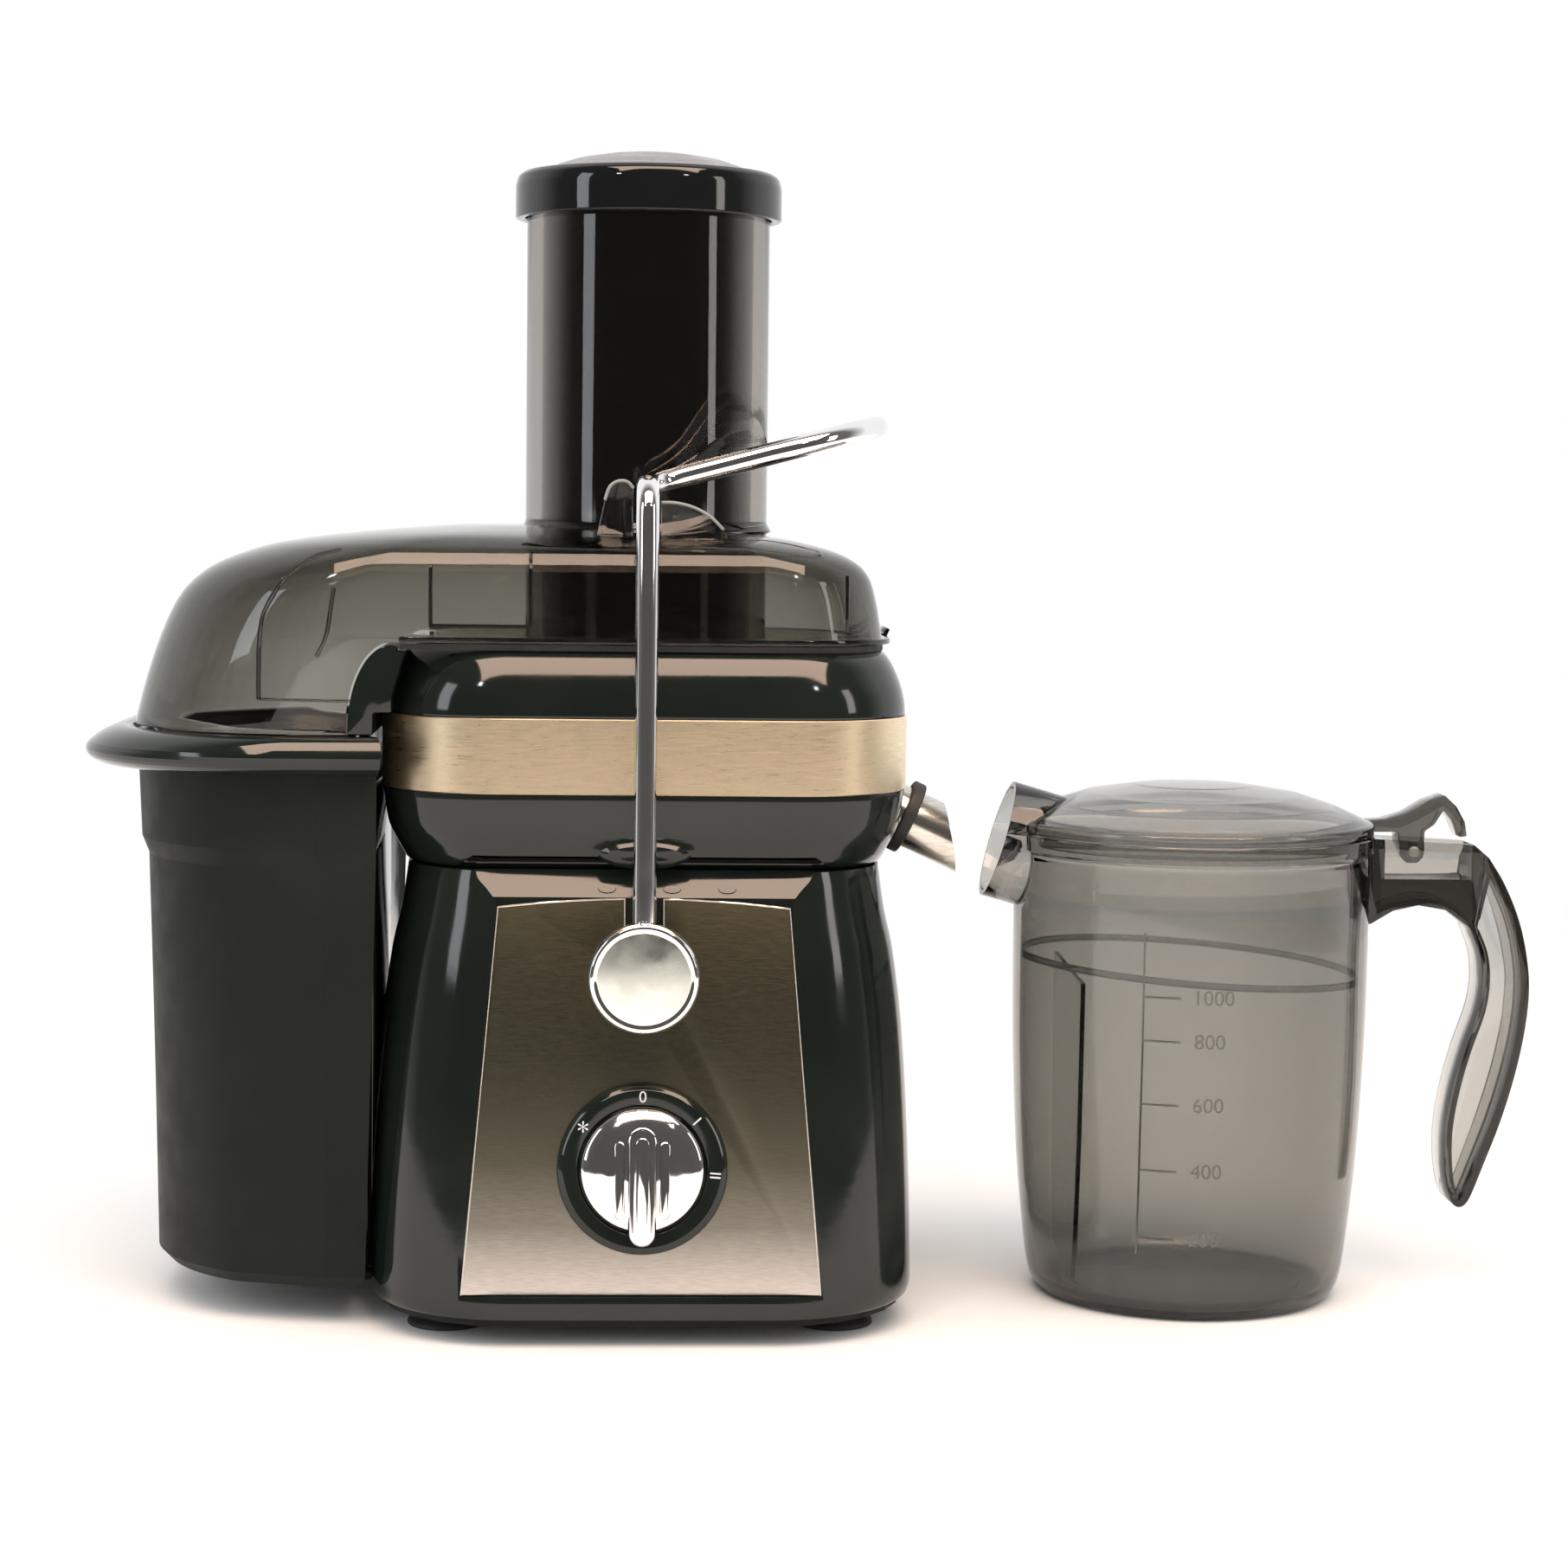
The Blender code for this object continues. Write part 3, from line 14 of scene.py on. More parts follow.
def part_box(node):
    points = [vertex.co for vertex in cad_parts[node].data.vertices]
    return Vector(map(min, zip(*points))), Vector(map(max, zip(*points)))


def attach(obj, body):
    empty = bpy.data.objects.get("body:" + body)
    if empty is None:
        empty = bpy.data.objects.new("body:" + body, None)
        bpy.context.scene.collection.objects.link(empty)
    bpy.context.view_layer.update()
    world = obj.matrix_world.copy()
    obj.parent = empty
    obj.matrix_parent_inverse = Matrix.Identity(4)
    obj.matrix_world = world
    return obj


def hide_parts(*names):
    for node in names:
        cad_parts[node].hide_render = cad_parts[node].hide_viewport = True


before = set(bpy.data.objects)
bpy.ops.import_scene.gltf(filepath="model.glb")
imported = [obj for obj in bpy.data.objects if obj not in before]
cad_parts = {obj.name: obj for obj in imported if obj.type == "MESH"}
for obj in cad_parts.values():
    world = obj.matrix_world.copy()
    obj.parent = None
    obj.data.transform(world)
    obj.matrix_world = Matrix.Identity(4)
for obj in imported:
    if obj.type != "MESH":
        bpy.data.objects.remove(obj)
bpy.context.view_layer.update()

MM = 0.001


def middle(node):
    low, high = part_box(node)
    return (low + high) / 2


# The two upright axes that everything is placed from
MACHINE = Vector((middle("pusher_body").x, middle("pusher_body").y, 0))
JUG = Vector((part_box("jug_body")[1].x - 120.8 * MM, middle("jug_body").y, 0))

# Motor base
HOUSING_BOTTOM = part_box("motor_housing")[0].z
HOUSING_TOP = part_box("motor_housing")[1].z
DEPTH_TOP = 88 * MM
DEPTH_BOTTOM = 103.5 * MM
FACE_TILT = math.atan2(DEPTH_BOTTOM - DEPTH_TOP, HOUSING_TOP - HOUSING_BOTTOM)
FACE_TURN = math.pi / 2 - FACE_TILT
FACE_Z = 82 * MM
POCKET_DEPTH = 3.2 * MM
PANEL_THICK = 1.2 * MM
GAP = 0.3 * MM
KNOB_Z = 59.2 * MM
TO_FRONT = math.pi / 2

# Locking arm
PIVOT_Z = 125 * MM
ARM_Y = 104 * MM
ROD_RADIUS = 3.8 * MM

# Lid and chute
CHUTE_RADIUS = 42.7 * MM
LID_WALL = 2.2 * MM
SHOULDER_X = 84 * MM
SHOULDER_FOOT = 203 * MM
SHOULDER_REACH = 14.6 * MM
SHOULDER_RISE = 28.5 * MM

# Jug
INLET_ANGLE = math.radians(16)
INLET_MOUTH = Vector((-69.5 * MM, 0, 162 * MM))
INLET_RADIUS = 21 * MM
INLET_BORE = 19.2 * MM
HANDLE_HALF = 9.5 * MM
JUG_RIM = 165  # height in millimetres

CORNER_STEPS = 14
ROUND = 128


# ---- materials

def new_material(name, color, roughness, metallic=0.0, **sockets):
    material = bpy.data.materials.new(name)
    material.use_nodes = True
    shader = material.node_tree.nodes["Principled BSDF"]
    shader.inputs["Base Color"].default_value = (*color, 1)
    shader.inputs["Roughness"].default_value = roughness
    shader.inputs["Metallic"].default_value = metallic
    for socket, value in sockets.items():
        shader.inputs[socket.replace("_", " ")].default_value = value
    return material, material.node_tree, shader


def noise(tree, scale, detail=3.0, stretch=(1, 1, 1)):
    """Noise in the object's own space; stretch above 1 on an axis makes the grain finer along it."""
    place = tree.nodes.new("ShaderNodeTexCoord")
    mapping = tree.nodes.new("ShaderNodeMapping")
    mapping.inputs["Scale"].default_value = stretch
    texture = tree.nodes.new("ShaderNodeTexNoise")
    texture.inputs["Scale"].default_value = scale
    texture.inputs["Detail"].default_value = detail
    tree.links.new(place.outputs["Object"], mapping.inputs["Vector"])
    tree.links.new(mapping.outputs["Vector"], texture.inputs["Vector"])
    return texture.outputs["Fac"]


def ramp(tree, source, stops):
    """A color ramp fed by source; stops are (position, color)."""
    node = tree.nodes.new("ShaderNodeValToRGB")
    elements = node.color_ramp.elements
    while len(elements) < len(stops):
        elements.new(0.5)
    for element, (position, color) in zip(elements, stops):
        element.position = position
        element.color = (*color, 1)
    tree.links.new(source, node.inputs["Fac"])
    return node.outputs["Color"]


def spread(tree, source, low, high, start=0.3, end=0.7):
    node = tree.nodes.new("ShaderNodeMapRange")
    node.inputs["From Min"].default_value = start
    node.inputs["From Max"].default_value = end
    node.inputs["To Min"].default_value = low
    node.inputs["To Max"].default_value = high
    tree.links.new(source, node.inputs["Value"])
    return node.outputs["Result"]


def bump(tree, shader, source, strength, distance):
    node = tree.nodes.new("ShaderNodeBump")
    node.inputs["Strength"].default_value = strength
    node.inputs["Distance"].default_value = distance
    tree.links.new(source, node.inputs["Height"])
    tree.links.new(node.outputs["Normal"], shader.inputs["Normal"])


def paint(tree, shader, source, dark, light, low=0.3, high=0.7):
    """Colour that drifts from dark to light with source."""
    tree.links.new(ramp(tree, source, [(low, dark), (high, light)]), shader.inputs["Base Color"])


def polish(tree, shader, source, low, high):
    """Roughness that drifts between low and high with source."""
    tree.links.new(spread(tree, source, low, high), shader.inputs["Roughness"])


def gloss_plastic(name, dark, light, low=0.05, high=0.12):
    """Polished moulded plastic: faint colour drift, smears in the gloss and a very shallow orange peel."""
    material, tree, shader = new_material(name, dark, low, IOR=1.5)
    paint(tree, shader, noise(tree, 22, 3), dark, light, 0.35, 0.65)
    polish(tree, shader, noise(tree, 48, 6), low, high)
    bump(tree, shader, noise(tree, 260, 2), 0.04, 0.2 * MM)
    return material


def satin_plastic(name, dark, light, low=0.4, high=0.52, grain=2600):
    """Spark-eroded moulded plastic: a fine even grain."""
    material, tree, shader = new_material(name, dark, low, IOR=1.27)
    paint(tree, shader, noise(tree, 30, 4), dark, light)
    polish(tree, shader, noise(tree, 90, 5), low, high)
    bump(tree, shader, noise(tree, grain, 2), 0.35, 0.12 * MM)
    return material


def brushed_metal(name, dark, light, low=0.22, high=0.36, stretch=(1, 1, 22), scale=130):
    """Steel brushed along the horizontal: short streaks in colour, gloss and relief."""
    material, tree, shader = new_material(name, light, low, 1.0)
    streaks = noise(tree, scale, 6, stretch)
    paint(tree, shader, streaks, dark, light)
    polish(tree, shader, streaks, high, low)
    bump(tree, shader, streaks, 0.12, 0.05 * MM)
    return material


def panel_metal():
    """The front panel's steel, with streaks along it; its colour is painted light: pale at its foot, then
    painted shade makes it darker and browner above.
    """
    material, tree, shader = new_material("panel_steel", (0.5, 0.45, 0.4), 0.3, 1.0)
    place = tree.nodes.new("ShaderNodeTexCoord")
    split = tree.nodes.new("ShaderNodeSeparateXYZ")
    tree.links.new(place.outputs["Object"], split.inputs["Vector"])
    height = spread(tree, split.outputs["Z"], 0.0, 1.0, 18 * MM, 148 * MM)
    # Painted light and shade by height: pale at the foot, darker and browner towards the top under the bowl.
    painted_light_by_height = ramp(tree, height, [(0.0, (0.66, 0.61, 0.57)), (0.17, (0.24, 0.225, 0.19)),
                                  (0.33, (0.135, 0.125, 0.092)), (1.0, (0.12, 0.118, 0.078))])
    streaks = noise(tree, 240, 5, (1, 14, 14))
    grain = ramp(tree, streaks, [(0.3, (0.82, 0.82, 0.82)), (0.7, (1, 1, 1))])
    mix = tree.nodes.new("ShaderNodeMix")
    mix.data_type = "RGBA"
    mix.blend_type = "MULTIPLY"
    mix.inputs["Factor"].default_value = 1
    tree.links.new(painted_light_by_height, mix.inputs["A"])
    tree.links.new(grain, mix.inputs["B"])
    tree.links.new(mix.outputs["Result"], shader.inputs["Base Color"])
    polish(tree, shader, streaks, 0.42, 0.3)
    bump(tree, shader, streaks, 0.06, 0.04 * MM)
    return material


def chromed(name, tint=(0.9, 0.9, 0.9), low=0.03, high=0.09, smear=60):
    material, tree, shader = new_material(name, tint, low, 1.0)
    paint(tree, shader, noise(tree, smear, 4), tuple(0.93 * v for v in tint), tint)
    polish(tree, shader, noise(tree, smear * 1.7, 6), low, high)
    return material


def smoked_plastic(name, absorbed, density, tint=(0.96, 0.96, 0.95), low=0.015, high=0.05):
    """Clear plastic with a grey-brown dye: the further light goes through it, the darker it gets."""
    material, tree, shader = new_material(name, tint, low, IOR=1.46, Transmission_Weight=1.0)
    paint(tree, shader, noise(tree, 25, 3), tuple(0.985 * v for v in tint), tint)
    polish(tree, shader, noise(tree, 70, 5), low, high)
    dye = tree.nodes.new("ShaderNodeVolumeAbsorption")
    dye.inputs["Color"].default_value = (*absorbed, 1)
    dye.inputs["Density"].default_value = density
    tree.links.new(dye.outputs["Volume"], tree.nodes["Material Output"].inputs["Volume"])
    return material


def rubbery(name, dark=(0.014, 0.014, 0.014)):
    material, tree, shader = new_material(name, dark, 0.6)
    paint(tree, shader, noise(tree, 80, 4), dark, tuple(1.6 * v for v in dark))
    polish(tree, shader, noise(tree, 200, 4), 0.5, 0.72)
    bump(tree, shader, noise(tree, 1800, 2), 0.3, 0.1 * MM)
    return material


GLOSS = gloss_plastic("gloss_black_finish", (0.006, 0.0085, 0.007), (0.009, 0.012, 0.0095))
GLOSS_DARK = gloss_plastic("gloss_black_deep", (0.004, 0.005, 0.005), (0.006, 0.007, 0.007), 0.03, 0.07)
SATIN = satin_plastic("satin_black_finish", (0.0055, 0.0075, 0.006), (0.008, 0.0105, 0.0085), 0.46, 0.58)
INNER = satin_plastic("inner_black", (0.012, 0.012, 0.012), (0.02, 0.02, 0.02), 0.5, 0.6, 900)
# The band is steel; its warm gold colour is a painted reflection of the warm light in front.
BAND = brushed_metal("band_steel_painted_warm_reflection", (0.90, 0.70, 0.47), (1.0, 0.86, 0.61), 0.26, 0.38)
STEEL = brushed_metal("plain_steel", (0.55, 0.52, 0.47), (0.74, 0.70, 0.63), 0.12, 0.24, (1, 1, 8), 160)
PANEL = panel_metal()
# A pale steel for the line along the panel's edge: a painted highlight.
PANEL_EDGE_HIGHLIGHT = brushed_metal("panel_edge_painted_highlight", (0.80, 0.76, 0.70), (0.95, 0.92, 0.87), 0.3, 0.45)
CHROME = chromed("bright_chrome")
CHROME_CAP = chromed("cap_chrome", (0.80, 0.83, 0.77), 0.14, 0.3, 70)
SMOKE = smoked_plastic("smoked_plastic", (0.45, 0.44, 0.39), 640)
SMOKE_JUG = smoked_plastic("smoked_jug", (0.46, 0.45, 0.42), 560)
SMOKE_COVER = smoked_plastic("smoked_cover", (0.50, 0.48, 0.46), 260)
SMOKE_RIM = smoked_plastic("smoked_rim", (0.3, 0.31, 0.28), 650)
SMOKE_GRIP = smoked_plastic("smoked_grip", (0.45, 0.44, 0.41), 360)
# A light grey for thin lines along the fins' clear edges: painted highlights where the edges catch the light.
FIN_EDGE_HIGHLIGHT = gloss_plastic("fin_edge_painted_highlight", (0.20, 0.21, 0.195), (0.27, 0.28, 0.26))
CLEAR = smoked_plastic("clear_chute", (0.5, 0.46, 0.42), 160)
PINK = smoked_plastic("dome_plastic", (0.75, 0.62, 0.60), 60, (0.92, 0.86, 0.85), 0.18, 0.30)
RUBBER = rubbery("black_rubber")
MARK = satin_plastic("mark_white", (0.55, 0.56, 0.55), (0.68, 0.69, 0.68), 0.4, 0.5, 900)
JUG_MARK = satin_plastic("mark_grey", (0.10, 0.10, 0.095), (0.13, 0.13, 0.12), 0.4, 0.5, 900)
COPPER = brushed_metal("wound_copper", (0.45, 0.20, 0.10), (0.70, 0.36, 0.20), 0.3, 0.4, (1, 1, 30), 60)
BOARD = satin_plastic("circuit_board", (0.03, 0.14, 0.05), (0.05, 0.2, 0.08), 0.35, 0.5, 300)


# ---- shape makers

def clean(shape):
    bmesh.ops.remove_doubles(shape, verts=shape.verts, dist=1e-6)
    bmesh.ops.recalc_face_normals(shape, faces=shape.faces)
    mesh = bpy.data.meshes.new("shape")
    shape.to_mesh(mesh)
    shape.free()
    return mesh


def rounded_ring(z, x_low, x_high, y_half, r_low, r_high, steps=CORNER_STEPS):
    """A rounded rectangle at height z, with one radius at its low-x corners and one at its high-x corners."""
    corners = (
        (x_high - r_high, -y_half + r_high, r_high, -90),
        (x_high - r_high, y_half - r_high, r_high, 0),
        (x_low + r_low, y_half - r_low, r_low, 90),
        (x_low + r_low, -y_half + r_low, r_low, 180),
    )
    ring = []
    for x, y, radius, start in corners:
        for i in range(steps + 1):
            angle = math.radians(start + 90 * i / steps)
            ring.append((x + radius * math.cos(angle), y + radius * math.sin(angle), z))
    return ring


def square_ring(z, half_x, half_y, radius):
    return rounded_ring(z, -half_x, half_x, half_y, radius, radius)


def eased(rows, steps=4, corners=()):
    """More rows along a smooth curve through the given ones; it turns sharply at the corners."""
    rows = np.array(rows, float)
    spans = np.maximum(np.abs(np.diff(rows, axis=0)).max(axis=1), 1e-9)
    slopes = np.diff(rows, axis=0) / spans[:, None]
    result = []
    for i, span in enumerate(spans):
        before = after = slopes[i]
        if i > 0 and i not in corners:
            before = (slopes[i - 1] * spans[i - 1] + slopes[i] * span) / (spans[i - 1] + span)
        if i + 1 < len(spans) and i + 1 not in corners:
            after = (slopes[i] * span + slopes[i + 1] * spans[i + 1]) / (span + spans[i + 1])
        for k in range(steps):
            t = k / steps
            rise = 3 * t ** 2 - 2 * t ** 3
            leave = (t ** 3 - 2 * t ** 2 + t) * span
            arrive = (t ** 3 - t ** 2) * span
            result.append(rows[i] * (1 - rise) + before * leave + rows[i + 1] * rise + after * arrive)
    result.append(rows[-1])
    return [tuple(row) for row in result]


def loft_mesh(rings, closed=False):
    shape = bmesh.new()
    rows = [[shape.verts.new(point) for point in ring] for ring in rings]
    pairs = list(zip(rows, rows[1:]))
    if closed:
        pairs.append((rows[-1], rows[0]))
    for lower, upper in pairs:
        count = len(lower)
        for i in range(count):
            shape.faces.new((lower[i], lower[(i + 1) % count], upper[(i + 1) % count], upper[i]))
    if not closed:
        shape.faces.new(rows[0])
        shape.faces.new(rows[-1])
    return clean(shape)


def mesh_of(thing):
    """The evaluated mesh of an object, which is then removed."""
    bpy.context.view_layer.update()
    graph = bpy.context.evaluated_depsgraph_get()
    mesh = bpy.data.meshes.new_from_object(thing.evaluated_get(graph))
    bpy.data.objects.remove(thing, do_unlink=True)
    shape = bmesh.new()
    shape.from_mesh(mesh)
    return clean(shape)


def temporary(data):
    thing = bpy.data.objects.new("temporary", data)
    bpy.context.scene.collection.objects.link(thing)
    return thing


def plate_mesh(outline, low, high, bevel=0.0):
    """A flat outline extruded from low to high along Z, with rounded edges if asked."""
    shape = bmesh.new()
    rows = [[shape.verts.new((x, y, z)) for x, y in outline] for z in (low, high)]
    count = len(outline)
    for i in range(count):
        after = (i + 1) % count
        shape.faces.new((rows[0][i], rows[0][after], rows[1][after], rows[1][i]))
    for row in rows:
        shape.faces.new(row)
    mesh = clean(shape)
    return softened(mesh, bevel, 2) if bevel else mesh


def turned_mesh(profile, steps=ROUND, closed=False):
    """Turn a profile of (radius, height) about Z."""
    shape = bmesh.new()
    verts = [shape.verts.new((radius, 0, height)) for radius, height in profile]
    edges = [shape.edges.new(pair) for pair in zip(verts, verts[1:])]
    if closed:
        edges.append(shape.edges.new((verts[-1], verts[0])))
    bmesh.ops.spin(shape, geom=verts + edges, cent=(0, 0, 0), axis=(0, 0, 1), angle=2 * math.pi,
                   steps=steps, use_merge=True)
    return clean(shape)


def peg(radius, low, high, steps=48):
    """A round solid on the Z axis, to cut with; sizes in millimetres."""
    return turned_mesh(metric([(0, high), (radius, high), (radius, low), (0, low)]), steps)


def rounded_profile(points, radius=0.5, steps=3):
    """A closed or open profile in mm whose inner corners are rounded, as (radius, height) in metres."""
    result = [points[0]]
    for before, here, after in zip(points, points[1:], points[2:]):
        a, b, c = Vector(before), Vector(here), Vector(after)
        reach = min(radius, 0.45 * (a - b).length, 0.45 * (c - b).length)
        start = b + (a - b).normalized() * reach
        end = b + (c - b).normalized() * reach
        for i in range(steps + 1):
            t = i / steps
            result.append(tuple(start * (1 - t) ** 2 + b * 2 * t * (1 - t) + end * t ** 2))
    result.append(points[-1])
    return [(x * MM, z * MM) for x, z in result]


def rounded_loop(points, radius=0.5, steps=3):
    """The same for a profile that closes on itself."""
    padded = [points[-1]] + list(points) + [points[0]]
    return rounded_profile(padded, radius, steps)[1:-1]


def rod_mesh(points, radius, resolution=8):
    curve = bpy.data.curves.new("rod", "CURVE")
    curve.dimensions = "3D"
    curve.bevel_depth = radius
    curve.bevel_resolution = resolution
    curve.use_fill_caps = True
    spline = curve.splines.new("POLY")
    spline.points.add(len(points) - 1)
    for point, position in zip(spline.points, points):
        point.co = (*position, 1)
    return mesh_of(temporary(curve))


def box_mesh(low, high):
    """A box between two corners in millimetres."""
    low, high = Vector(low) * MM, Vector(high) * MM
    shape = bmesh.new()
    bmesh.ops.create_cube(shape, size=1)
    size = high - low
    for vertex in shape.verts:
        vertex.co = Vector(tuple((vertex.co[i] + 0.5) * size[i] + low[i] for i in range(3)))
    return clean(shape)


def combined(mesh, tools, operation):
    """The mesh cut by, or joined with, each of the tool meshes."""
    thing = temporary(mesh)
    helpers = []
    for tool in tools:
        helper = temporary(tool)
        helpers.append(helper)
        modifier = thing.modifiers.new("combine", "BOOLEAN")
        modifier.operation = operation
        modifier.object = helper
    result = mesh_of(thing)
    for helper in helpers:
        bpy.data.objects.remove(helper, do_unlink=True)
    return result


def softened(mesh, width, segments=3, degrees=35):
    """The mesh with its sharp edges rounded."""
    thing = temporary(mesh)
    modifier = thing.modifiers.new("edges", "BEVEL")
    modifier.width = width
    modifier.segments = segments
    modifier.limit_method = "ANGLE"
    modifier.angle_limit = math.radians(degrees)
    return mesh_of(thing)


def arc(x, y, radius, start, end, steps):
    points = []
    for i in range(steps + 1):
        angle = math.radians(start + (end - start) * i / steps)
        points.append((x + radius * math.cos(angle), y + radius * math.sin(angle)))
    return points


def metric(points):
    return [tuple(value * MM for value in point) for point in points]


def moved(mesh, *turns):
    for turn in turns:
        mesh.transform(turn)
    return mesh


def turn_x(angle):
    return Matrix.Rotation(angle, 4, "X")


def turn_y(angle):
    return Matrix.Rotation(angle, 4, "Y")


def shift(x=0.0, y=0.0, z=0.0):
    return Matrix.Translation((x, y, z))


def add(name, mesh, material, body, replaces=(), at=None, degrees=30):
    """Put a piece in the scene: its mesh moves from its own axis to its place, and it rides on its body."""
    if at is None:
        at = JUG if body in ("jug", "jug_lid") else MACHINE
    mesh.name = name
    mesh.transform(Matrix.Translation(at))
    mesh.materials.clear()
    mesh.materials.append(material)
    mesh.shade_smooth()
    mesh.set_sharp_from_angle(angle=math.radians(degrees))
    piece = bpy.data.objects.new(name, mesh)
    bpy.context.scene.collection.objects.link(piece)
    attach(piece, body)
    if replaces:
        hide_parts(*replaces)
    return piece


# ---- motor base

HOUSING_SHAPE = [  # height, half width, corner radius
    (9.8, 90.6, 47), (10.8, 92.2, 48), (15, 93, 48), (62, 91.8, 47), (102, 89.3, 45), (128, 85.8, 43),
    (142, 82.6, 41), (157, 80.4, 40),
]


def face_depth(z):
    slope = (DEPTH_BOTTOM - DEPTH_TOP) / (HOUSING_TOP - HOUSING_BOTTOM)
    return DEPTH_TOP + slope * (HOUSING_TOP - z)


def slope_height(z):
    return (z - FACE_Z) / math.cos(FACE_TILT)


FACE_FLOOR = -face_depth(FACE_Z) + POCKET_DEPTH / math.cos(FACE_TILT)
FACE = shift(0, FACE_FLOOR, FACE_Z) @ turn_x(FACE_TURN)
PANEL_LOW, PANEL_HIGH = slope_height(17.5 * MM), slope_height(145 * MM)
PANEL_TOP_HALF = 48.5 * MM
STRIP_LEAN = math.radians(24)
DIAL_Y = -face_depth(KNOB_Z) + (POCKET_DEPTH - GAP - PANEL_THICK) / math.cos(FACE_TILT)
KNOB_AXIS = shift(0, DIAL_Y, KNOB_Z) @ turn_x(FACE_TURN)


def housing():
    """The shell, with its front pocket between the two pillars and the sloped strip over the panel."""
    outer, inner = [], []
    for z, half, radius in eased(HOUSING_SHAPE, 3):
        z, half, radius = z * MM, half * MM, radius * MM
        outer.append(square_ring(z, half, face_depth(z), radius))
        level = min(z, HOUSING_TOP - 4 * MM)
        inner.append(square_ring(level, half - 3.5 * MM, face_depth(level) - 8 * MM, radius - 8 * MM))
    mesh = loft_mesh(inner[::-1] + outer)
    side = [(59.9 * MM, PANEL_LOW - 0.4 * MM), (48.9 * MM, PANEL_HIGH)]
    flare = eased([(48.9, 0), (49.6, 2.5), (52.4, 6), (55.2, 9), (56, 12.5), (56, 24)], 4)
    side += [(x * MM, PANEL_HIGH + y * MM) for x, y in flare[1:]]
    outline = side + [(-x, y) for x, y in reversed(side)]
    pocket = moved(plate_mesh(outline, 0, 12 * MM), FACE)
    wedge = [(x * MM, (y - 3) * MM) for x, y in flare]
    wedge = [(x, y) for x, y in wedge if y >= 0]
    wedge = plate_mesh(wedge + [(-x, y) for x, y in reversed(wedge)], 0, 10 * MM)
    strip = moved(wedge, turn_x(-STRIP_LEAN), shift(0, PANEL_HIGH + 3 * MM, 0), FACE)
    cap_hole = moved(peg(10, -6, 14), turn_x(TO_FRONT), shift(0, -face_depth(PIVOT_Z), PIVOT_Z))
    rear_hole = moved(peg(4.3, -14, 14, 32), turn_x(TO_FRONT), shift(0, face_depth(PIVOT_Z), PIVOT_Z))
    gland_hole = moved(peg(7, -14, 14, 32), turn_x(-FACE_TURN), shift(*(middle("cord_gland") - MACHINE)))
    mesh = combined(mesh, [pocket, strip, cap_hole, rear_hole, gland_hole], "DIFFERENCE")
    mesh = softened(mesh, 0.9 * MM, 3, 32)
    add("housing_shell", mesh, GLOSS, "base", ["motor_housing"])
    for x in (-12.4, 9.2, 27.6):
        dimple = turned_mesh(metric([(0, 0.25), (1.9, 0.2), (2.1, -0.4), (0, -0.4)]), 24)
        moved(dimple, Matrix.Diagonal((1.5, 0.7, 1, 1)), turn_x(-STRIP_LEAN))
        moved(dimple, shift(x * MM, PANEL_HIGH + 6.2 * MM, -1.25 * MM), FACE)
        add(f"strip_mark_{x:.0f}".replace("-", "m"), dimple, GLOSS_DARK, "base")


def panel():
    """The steel sheet: an arched top with a slot for the arm's pivot, and a pale line along its edge as a
    painted highlight.
    """
    slot_half, foot_half, rise, steps = 6.5 * MM, 59.5 * MM, 3 * MM, 24
    top = []
    for i in range(steps + 1):
        x = PANEL_TOP_HALF + (slot_half - PANEL_TOP_HALF) * i / steps
        top.append((x, PANEL_HIGH + rise * (1 - (x / PANEL_TOP_HALF) ** 2)))
    notch = arc(0, slope_height(PIVOT_Z), slot_half, 0, -180, 24)
    outline = [(-foot_half, PANEL_LOW), (foot_half, PANEL_LOW)] + top + notch
    outline += [(-x, y) for x, y in reversed(top)]
    mesh = plate_mesh(outline, GAP, GAP + PANEL_THICK, 0.35 * MM)
    add("panel_sheet", moved(mesh, FACE), PANEL, "base", ["front_panel"])
    # A thin pale rod along the panel's outline: a painted highlight on its edge.
    edge_highlight_path = [(x, y, GAP + PANEL_THICK - 0.1 * MM) for x, y in outline[1:] + outline[:1]]
    add("panel_edge_painted_highlight", moved(rod_mesh(edge_highlight_path, 0.35 * MM, 4), FACE), PANEL_EDGE_HIGHLIGHT, "base")


def foot_pieces():
    profile = rounded_profile([
        (0, 6.5), (5, 6.5), (6, 5), (10, 4), (13.4, 1.4), (13.5, 0), (11.5, 0), (8, 1.8), (0, 2.4)], 0.7)
    for name in ("foot_front_left", "foot_front_right", "foot_rear_left", "foot_rear_right"):
        at = middle(name)
        at.z = 0
        add("cup_" + name, turned_mesh(profile, 64), RUBBER, "base", [name], at)


def bin_guide():
    """The wall on the machine's left side that the bin stands against."""
    wall = box_mesh((-93.8, -56, 16), (-91, 56, 182))
    add("bin_guide", softened(wall, 1.2 * MM, 3), GLOSS, "base")


# ---- dial

def glyph_mesh(text, size, depth):
    curve = bpy.data.curves.new("glyph", "FONT")
    curve.body = text
    curve.size = size
    curve.extrude = depth
    curve.align_x = "CENTER"
    curve.align_y = "CENTER"
    return mesh_of(temporary(curve))


def bar_outline(x, foot, head, radius, steps):
    """A bar with round ends; foot and head are the heights of their centres, in millimetres."""
    return metric(arc(x, head, radius, 0, 180, steps) + arc(x, foot, radius, 180, 360, steps))


